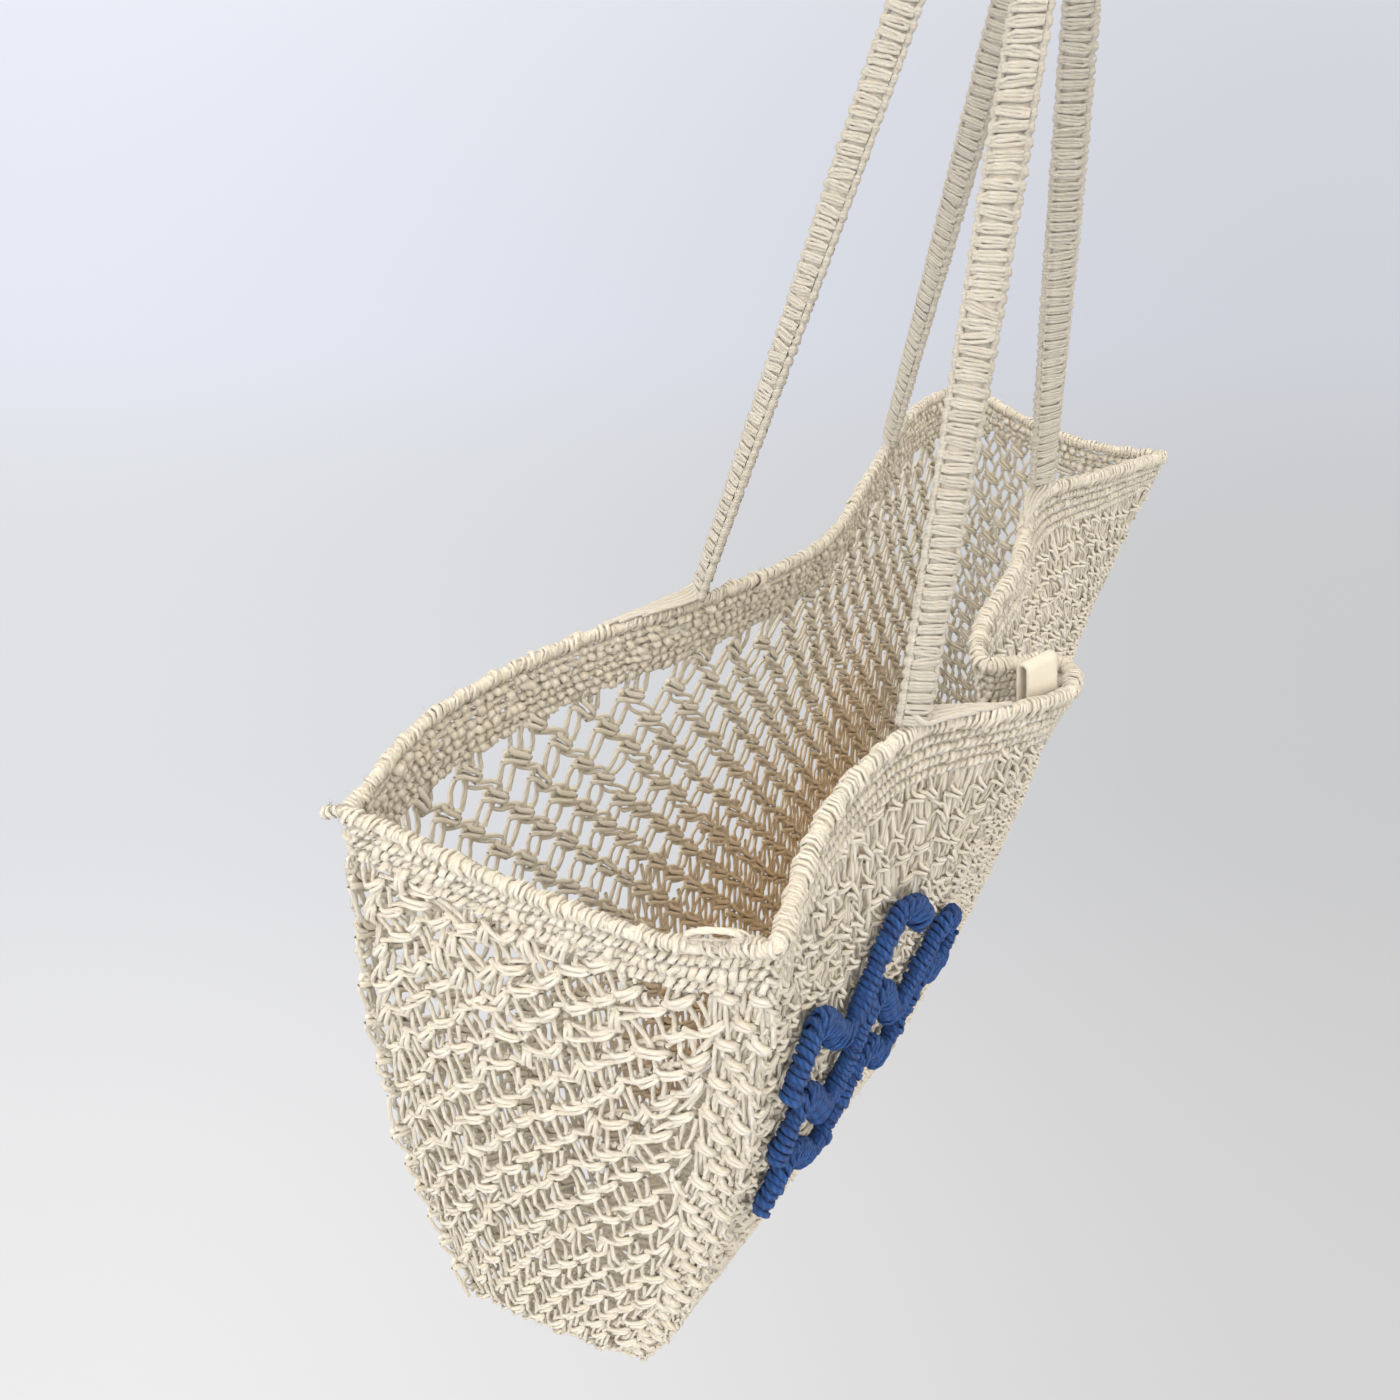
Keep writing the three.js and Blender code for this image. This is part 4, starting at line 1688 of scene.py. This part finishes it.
@dataclass(frozen=True)
class PaintedInnerShade:
    """Painted shade: a browner tone on the inner side of a wall, deepest low down and half way along.

    Heights and lengths are metres from the hanging place.
    """

    colour: Colour = (0.92, 0.71, 0.49)
    inward: Place = (0.0, -1.0, 0.3)
    facing: Span = (-0.3, 0.3)
    heights: Span = (-0.31, -0.5)
    middle: float = 0.02
    reach: Span = (0.2, 0.06)

    def over(self, tree: NodeTree, colour: Socket) -> Socket:
        """Lays the painted shade over a colour.

        Args:
            tree: The material's tree.
            colour: The colour of the yarn.

        Returns:
            The colour with the painted shade in it.
        """
        # Painted shade, strongest on faces turned into the bag, low down and half way along
        place = tree.add("ShaderNodeTexCoord")
        spot = tree.add("ShaderNodeSeparateXYZ", {0: place.outputs["Object"]})
        aside = tree.math("ABSOLUTE", tree.math("SUBTRACT", spot.outputs[0], self.middle))
        deep, along = tree.ramp(spot.outputs[2], self.heights), tree.ramp(aside, self.reach)
        inner = tree.ramp(tree.dot(place.outputs["Normal"], self.inward), self.facing)
        share = tree.math("MULTIPLY", inner, tree.math("MULTIPLY", deep, along))
        return tree.mix(share, colour, self.colour, "MULTIPLY")


@dataclass(frozen=True)
class YarnFinish:
    """Twisted yarn: its colours from the painted shade in the grooves between its plies to the palest
    strand, its relief, and where given a painted shade on a wall's inner side.
    """

    name: str
    light: Colour
    shade: Colour
    # painted shade in the grooves between the plies
    groove_shade: Colour
    plies: float
    turns: float
    relief: float
    sheen: float
    # how much of that painted groove shade lies between the plies
    groove_shade_share: float
    depth: float
    roughness: float = 0.92
    sheen_roughness: float = 0.5
    gloss: float = 0.2
    fibre_tone: Span = (1.5, -0.5)
    strand_tone: float = 0.5
    fibre_relief: float = 1.4
    # painted shade on a wall's inner side, where given
    inner: PaintedInnerShade | None = None

    def material(self) -> Material:
        """The finish as a material.

        Returns:
            The material.
        """
        material = bpy.data.materials.new(self.name)
        tree = NodeTree.of(material)
        links = {"Plies": self.plies, "Turns": self.turns}
        yarn = tree.add("ShaderNodeGroup", links, node_tree=TwistedYarn.group())
        tone, ply, fibre = (yarn.outputs[name] for name in ("Tone", "Ply", "Fibre"))
        fibres = tree.math("MULTIPLY_ADD", fibre, *self.fibre_tone)
        strand = tree.math("MULTIPLY_ADD", tone, self.strand_tone, fibres)
        body = tree.mix(strand, self.shade, self.light)
        # Painted shade in the grooves between the plies
        groove_shade_share = tree.math("MULTIPLY", tree.math("SUBTRACT", 1.0, ply), self.groove_shade_share)
        colour = tree.mix(groove_shade_share, body, self.groove_shade)
        # Painted shade on the inner side of a wall
        if self.inner:
            colour = self.inner.over(tree, colour)
        rise = tree.math("MULTIPLY_ADD", fibre, self.fibre_relief, ply)
        tree.surface({
            "Base Color": colour,
            "Normal": tree.bump(rise, self.relief, self.depth),
            "Roughness": self.roughness,
            "Sheen Weight": self.sheen,
            "Sheen Roughness": self.sheen_roughness,
            "Specular IOR Level": self.gloss,
        })
        return material


@dataclass(frozen=True)
class LabelFinish:
    """Plain woven label cloth."""

    name: str = "label_cloth"
    light: Colour = (0.70, 0.66, 0.58)
    shade: Colour = (0.55, 0.50, 0.41)
    thread: float = 0.45
    wobble: float = 0.6
    blotches: float = 320.0
    weave_tone: float = 0.6
    blotch_tone: float = 0.5
    relief: float = 0.35
    depth: float = 0.1
    roughness: float = 0.85
    sheen: float = 0.1

    def material(self) -> Material:
        """The finish as a material.

        Returns:
            The material.
        """
        material = bpy.data.materials.new(self.name)
        tree = NodeTree.of(material)
        place = tree.add("ShaderNodeTexCoord").outputs["Object"]
        links = {"Vector": place, "Scale": math.tau / (self.thread * MM) / 20, "Distortion": self.wobble}
        waves = [tree.add("ShaderNodeTexWave", links, bands_direction=way).outputs[1] for way in ("X", "Z")]
        weave = tree.math("MAXIMUM", *waves)
        noise = tree.add("ShaderNodeTexNoise", {"Vector": place, "Scale": self.blotches}).outputs[0]
        blotch = tree.math("MULTIPLY", noise, self.blotch_tone)
        tone = tree.math("MULTIPLY_ADD", weave, self.weave_tone, blotch)
        tree.surface({
            "Base Color": tree.mix(tone, self.shade, self.light),
            "Normal": tree.bump(weave, self.relief, self.depth),
            "Roughness": self.roughness,
            "Sheen Weight": self.sheen,
        })
        return material


@dataclass(frozen=True)
class SoftLight:
    """A large soft light that faces a point."""

    name: str
    place: Place
    target: Place
    size: float
    power: float
    colour: Colour

    def build(self) -> bpy.types.Object:
        """Adds the light.

        Returns:
            The light, in its place.
        """
        lamp = bpy.data.lights.new(self.name, "AREA")
        lamp.shape = "DISK"
        lamp.size = self.size
        lamp.energy = self.power
        lamp.color = self.colour
        light = placed(self.name, lamp)
        light.location = self.place
        way = Vector(self.target) - Vector(self.place)
        light.rotation_euler = way.to_track_quat("-Z", "Y").to_euler()
        return light


@dataclass
class Studio:
    """The pale floor with its painted glow, the soft lights and the camera."""

    floor_height: float = -1.6
    floor_size: float = 120.0
    paper: float = 0.12
    paper_roughness: float = 0.8
    near_glow: Colour = (0.65, 0.655, 0.685)
    mid_glow: Colour = (0.545, 0.57, 0.62)
    far_glow: Colour = (0.575, 0.62, 0.735)
    near_fade: Span = (0.2, 1.6)
    far_fade: Span = (2.4, 5.0)
    fan_start: float = 1.45
    fan_least: float = 0.3
    fan: Span = (-0.5, 0.5)
    fan_dim: float = 0.72
    sky_colour: Colour = (1.0, 0.93, 0.81)
    sky_strength: float = 1.24
    bag: Place = (0.0, 0.0, -0.4)
    camera_place: Place = (-0.3788, -0.1444, -0.0730)
    heading: float = math.radians(35.1)
    pitch: float = math.radians(34.6)
    sensor: float = 36.0
    focal_pixels: float = 1102.8
    frame_pixels: float = 1400.0
    clip_start: float = 0.01

    def floor(self) -> None:
        """Adds the pale floor far below the bag: its glow is painted light, bluer far off, dimmer on the
        right.
        """
        half = self.floor_size / 2
        corners = [(x * half, y * half, self.floor_height) for x, y in ((-1, -1), (1, -1), (1, 1), (-1, 1))]
        mesh = bpy.data.meshes.new("floor")
        mesh.from_pydata(corners, [], [(0, 1, 2, 3)])
        material = bpy.data.materials.new("floor_painted_glow")
        tree = NodeTree.of(material)
        place = tree.add("ShaderNodeTexCoord").outputs["Object"]
        cos, sin = math.cos(self.heading), math.sin(self.heading)
        away, aside = tree.dot(place, (cos, sin, 0.0)), tree.dot(place, (-sin, cos, 0.0))
        spread = tree.math("MAXIMUM", tree.math("ADD", away, self.fan_start), self.fan_least)
        fan = tree.ramp(tree.math("DIVIDE", aside, spread), self.fan, (self.fan_dim, 1.0))
        near_part, far_part = (tree.ramp(away, fade) for fade in (self.near_fade, self.far_fade))
        glow = tree.mix(far_part, tree.mix(near_part, self.near_glow, self.mid_glow), self.far_glow)
        dim = tree.add("ShaderNodeCombineXYZ", {0: fan, 1: fan, 2: fan})
        # The glow is painted light: brighter near the bag, bluer far off, dimmer on the right
        tree.surface({
            "Base Color": (self.paper, self.paper, self.paper, 1),
            "Roughness": self.paper_roughness,
            "Emission Color": tree.mix(1.0, glow, dim.outputs[0], "MULTIPLY"),
            "Emission Strength": 1.0,
        })
        mesh.materials.append(material)
        floor = placed("floor", mesh)

    def sky(self) -> None:
        """Sets an even pale surround."""
        world = bpy.data.worlds.new("studio")
        bpy.context.scene.world = world
        tree = NodeTree.of(world)
        links = {"Color": (*self.sky_colour, 1), "Strength": self.sky_strength}
        light = tree.add("ShaderNodeBackground", links)
        tree.add("ShaderNodeOutputWorld", {"Surface": light.outputs[0]})

    def lights(self) -> None:
        """Adds the key light from the near end, a low one on the front and a faint one from above."""
        SoftLight("key", (-1.5, 0.35, 0.25), self.bag, 1.2, 10.0, (1.0, 1.0, 1.0)).build()
        SoftLight("front", (-0.3, -1.8, -0.45), self.bag, 1.2, 8.5, (1.0, 0.99, 0.97)).build()
        SoftLight("top", (-0.35, -0.25, 1.1), self.bag, 1.4, 7.0, (1.0, 0.96, 0.9)).build()

    def camera(self) -> None:
        """Adds the camera at the photograph's angle."""
        lens = bpy.data.cameras.new("camera")
        lens.sensor_width = self.sensor
        lens.lens = self.sensor * self.focal_pixels / self.frame_pixels
        lens.clip_start = self.clip_start
        camera = placed("camera", lens)
        camera.location = self.camera_place
        camera.rotation_euler = (math.pi / 2 - self.pitch, 0.0, self.heading - math.pi / 2)
        bpy.context.scene.camera = camera

    def build(self) -> None:
        """Sets up the whole studio."""
        self.floor()
        self.sky()
        self.lights()
        self.camera()
        view = bpy.context.scene.view_settings
        view.view_transform = "Standard"
        view.look = "None"


# A finish's groove colour is painted shade in the grooves between the plies.
COTTON = YarnFinish(
    name="cotton_cord", light=(0.89, 0.865, 0.81), shade=(0.80, 0.74, 0.62), groove_shade=(0.56, 0.455, 0.31),
    plies=2.0, turns=3.0, relief=0.9, sheen=0.25, groove_shade_share=0.28, depth=0.3,
)
# The back wall's cotton, with painted shade on its inner side
SHADED_INNER_COTTON = replace(COTTON, name="painted_shade_cord", inner=PaintedInnerShade())
# The straps' cotton is darker and greyer: partly the cord's own tone, partly painted shade that keeps the
# open straps from looking brighter than the walls.
STRAP = replace(COTTON, name="strap_cord", light=(0.69, 0.67, 0.625), shade=(0.60, 0.565, 0.50))
BLUE = YarnFinish(
    name="blue_cord", light=(0.026, 0.155, 0.54), shade=(0.01, 0.072, 0.32), groove_shade=(0.004, 0.027, 0.14),
    plies=3.0, turns=9.0, relief=1.0, sheen=0.15, groove_shade_share=0.6, depth=0.5,
)

RIB = Whipping(
    half_out=1.1, half_up=1.4, yarn_wide=1.3, yarn_thick=0.75, pitch=2.6, per_turn=6,
    slant=0.5, lean=0.45, wander=0.16, unevenness=0.13,
)
ROPE = Whipping(
    half_out=1.3, half_up=1.8, yarn_wide=1.45, yarn_thick=0.85, pitch=2.9,
    slant=0.8, lean=0.7, wander=0.18, sway=0.3, unevenness=0.15,
)
LUMPS = Whipping(
    half_out=1.1, half_up=1.5, yarn_wide=1.7, yarn_thick=0.9, pitch=3.9,
    slant=1.3, lean=1.0, wander=0.22, sway=0.35, unevenness=0.16,
)


@dataclass
class Tote:
    """The whole bag."""

    front: Wall = field(default_factory=lambda: Wall("front", "near_front", "far_front", False))
    back: Wall = field(default_factory=lambda: Wall("back", "near_back", "far_back", True))
    near: Wall = field(default_factory=lambda: Wall("near", "near_front", "near_back", True, 0.8))
    far: Wall = field(default_factory=lambda: Wall("far", "far_front", "far_back", False, 0.8))
    front_roll: float = 3.2
    other_roll: float = 2.7
    end_strip: float = 6.0

    def front_panel(self) -> Panel:
        """The front: close, flat, untidy knots over a ground of leaning cords.

        Returns:
            The wall.
        """
        net = Net(
            self.front, 45, 28, Knot(reach=3.7, tall=1.7, lift=1.6, radius=0.86, sides=4), 11,
            slant=math.radians(-37), drop=-0.2, tilt_jitter=math.radians(16), place_jitter=1.2,
            size_jitter=0.14, arc=0.9, bow=0.9, strand=0.62, sides=4, curve_parts=1, knot_parts=1,
            backs=False, ground=Ground(200, lean=0.17),
        )
        return Panel("front_knotting", "front_panel", net, 21, Ridges(4, RIB, 4.1, 1.6), 2, 0.02)

    def back_panel(self) -> Panel:
        """The back: an open net, with cords behind it low down.

        Returns:
            The wall.
        """
        net = Net(
            self.back, 22, 24, Knot(reach=5.5, tall=2.7, radius=1.26, sides=4), 12, drop=0.3, crowd=0.1,
            margin=0.12, strand=0.94, sides=4, ground=Ground(100, lift=0.0, top=0.4, wide=0.27),
        )
        return Panel("back_net", "back_panel", net, 24, Ridges(6, LUMPS, 3.9, 1.6), 2)

    def near_panels(self) -> list[Panel]:
        """The near end: a loose net, and a narrow strip of small knots at its front corner.

        Returns:
            Its two strips.
        """
        ridges = Ridges(3, ROPE, 4.9, 1.9)
        net = Net(
            Strip(self.near, 0.0, 0.92), 8, 25, Knot(reach=4.7, tall=2.1, radius=0.95), 13,
            slant=math.radians(53), drop=0.045, loose_top=1.2, tilt_jitter=math.radians(14),
            place_jitter=1.0, size_jitter=0.13, arc=1.2, bow=1.0, strand=0.82, margin=0.4, crowd=-0.36,
        )
        corner = Net(
            Strip(self.near, 0.9, 1.0), 2, 30, Knot(reach=3.2, tall=1.9, sides=4), 16,
            slant=math.radians(-20), place_jitter=0.9, arc=0.8, sides=4, ground=Ground(7),
        )
        return [
            Panel("near_net", "near_gusset", net, 26, ridges, fuzz=0.12),
            Panel("near_corner_knotting", "near_gusset", corner, 30, ridges, fuzz=0.12),
        ]

    def far_panel(self) -> Panel:
        """The far end: a plainer net of square knots.

        Returns:
            The wall.
        """
        net = Net(
            self.far, 9, 24, Knot(reach=4.8, tall=2.0, lift=1.3, radius=1.05, sides=4), 14,
            slant=math.radians(12), arc=1.6, bow=0.9, strand=0.9, sides=4, curve_parts=1, knot_parts=1,
        )
        return Panel("far_net", "far_gusset", net, 27, Ridges(3, LUMPS, 4.2, 1.6))

    def bottom_panel(self) -> Panel:
        """The bottom: wide knots over a ground of plain cords.

        Returns:
            The bottom.
        """
        floor = Floor(self.front.base, self.back.base)
        net = Net(
            floor, 20, 8, Knot(sides=4), 15, low=0.9, sides=4, curve_parts=1, knot_parts=1,
            ground=Ground(130),
        )
        return Panel("bottom_net", "bottom_panel", net, 28)

    def rims(self) -> list[Rim]:
        """The four whipped rolls.

        Returns:
            A roll for the rim of each wall.
        """
        return [
            Rim("front_rim", self.front.rim, self.front_roll, 0.0, 31),
            Rim("back_rim", self.back.rim, self.other_roll, 0.0, 32),
            Rim("near_rim", self.near.rim, self.other_roll, self.end_strip, 33),
            Rim("far_rim", self.far.rim, self.other_roll, self.end_strip, 34),
        ]

    def seams(self) -> Seams:
        """The cords down the four corners and round the base.

        Returns:
            All of them together.
        """
        corners = tuple(product((self.front, self.back), (0.0, 1.0)))
        return Seams((self.front, self.back, self.near, self.far), corners)

    def ties(self) -> CornerTies:
        """The bends at the four corners of the mouth.

        Returns:
            All of them, with their loose ends.
        """
        sides = ((self.front, 0.0), (self.back, 1.0))
        ends = ((self.near, 0.0), (self.far, 1.0))
        bends = tuple((wall, end, at, turn) for (wall, turn), (end, at) in product(sides, ends))
        return CornerTies(bends, self.near)

    def handles(self) -> list[Handle]:
        """The two straps.

        Returns:
            The front one, then the back one.
        """
        twists = (math.radians(54), math.radians(-40))
        return [
            Handle("front_handle", self.front.rim, self.front_roll, 0.2, 0.746, 1, -1, twists[0], -1, 41),
            Handle(
                "back_handle", self.back.rim, self.other_roll, 0.338, 0.728, -1, 1, twists[1], 1, 42,
                pull=(7.0, 10.0),
            ),
        ]

    def waves(self) -> list[Wave]:
        """The three blue cords on the front: the height, far end and crests of each.

        Returns:
            The cords, from the top one down.
        """
        courses = {"upper": (0.235, 0.24, 1.5), "middle": (0.345, 0.34, 2.5), "lower": (0.455, 0.42, 3.0)}
        return [
            Wave(f"blue_wave_{name}", self.front, *course, 51 + number)
            for number, (name, course) in enumerate(courses.items())
        ]

    def build(self) -> None:
        """Makes every piece, with its finish."""
        cotton, inner, strap, blue = (finish.material() for finish in (COTTON, SHADED_INNER_COTTON, STRAP, BLUE))
        near_net, near_corner = self.near_panels()
        self.front_panel().build(cotton)
        # The back wall's cords carry painted shade on their inner side
        self.back_panel().build(inner)
        plain = (near_net, self.far_panel(), self.bottom_panel(), near_corner)
        for part in (*plain, self.seams(), *self.rims(), self.ties()):
            part.build(cotton)
        for handle in self.handles():
            handle.build(strap)
        for wave in self.waves():
            wave.build(blue)
        Label(self.front.rim).build(LabelFinish().material())


def main() -> None:
    logging.basicConfig(level=logging.INFO, format="%(name)s %(message)s")
    Tote().build()
    Studio().build()


if __name__ == "__main__":
    main()
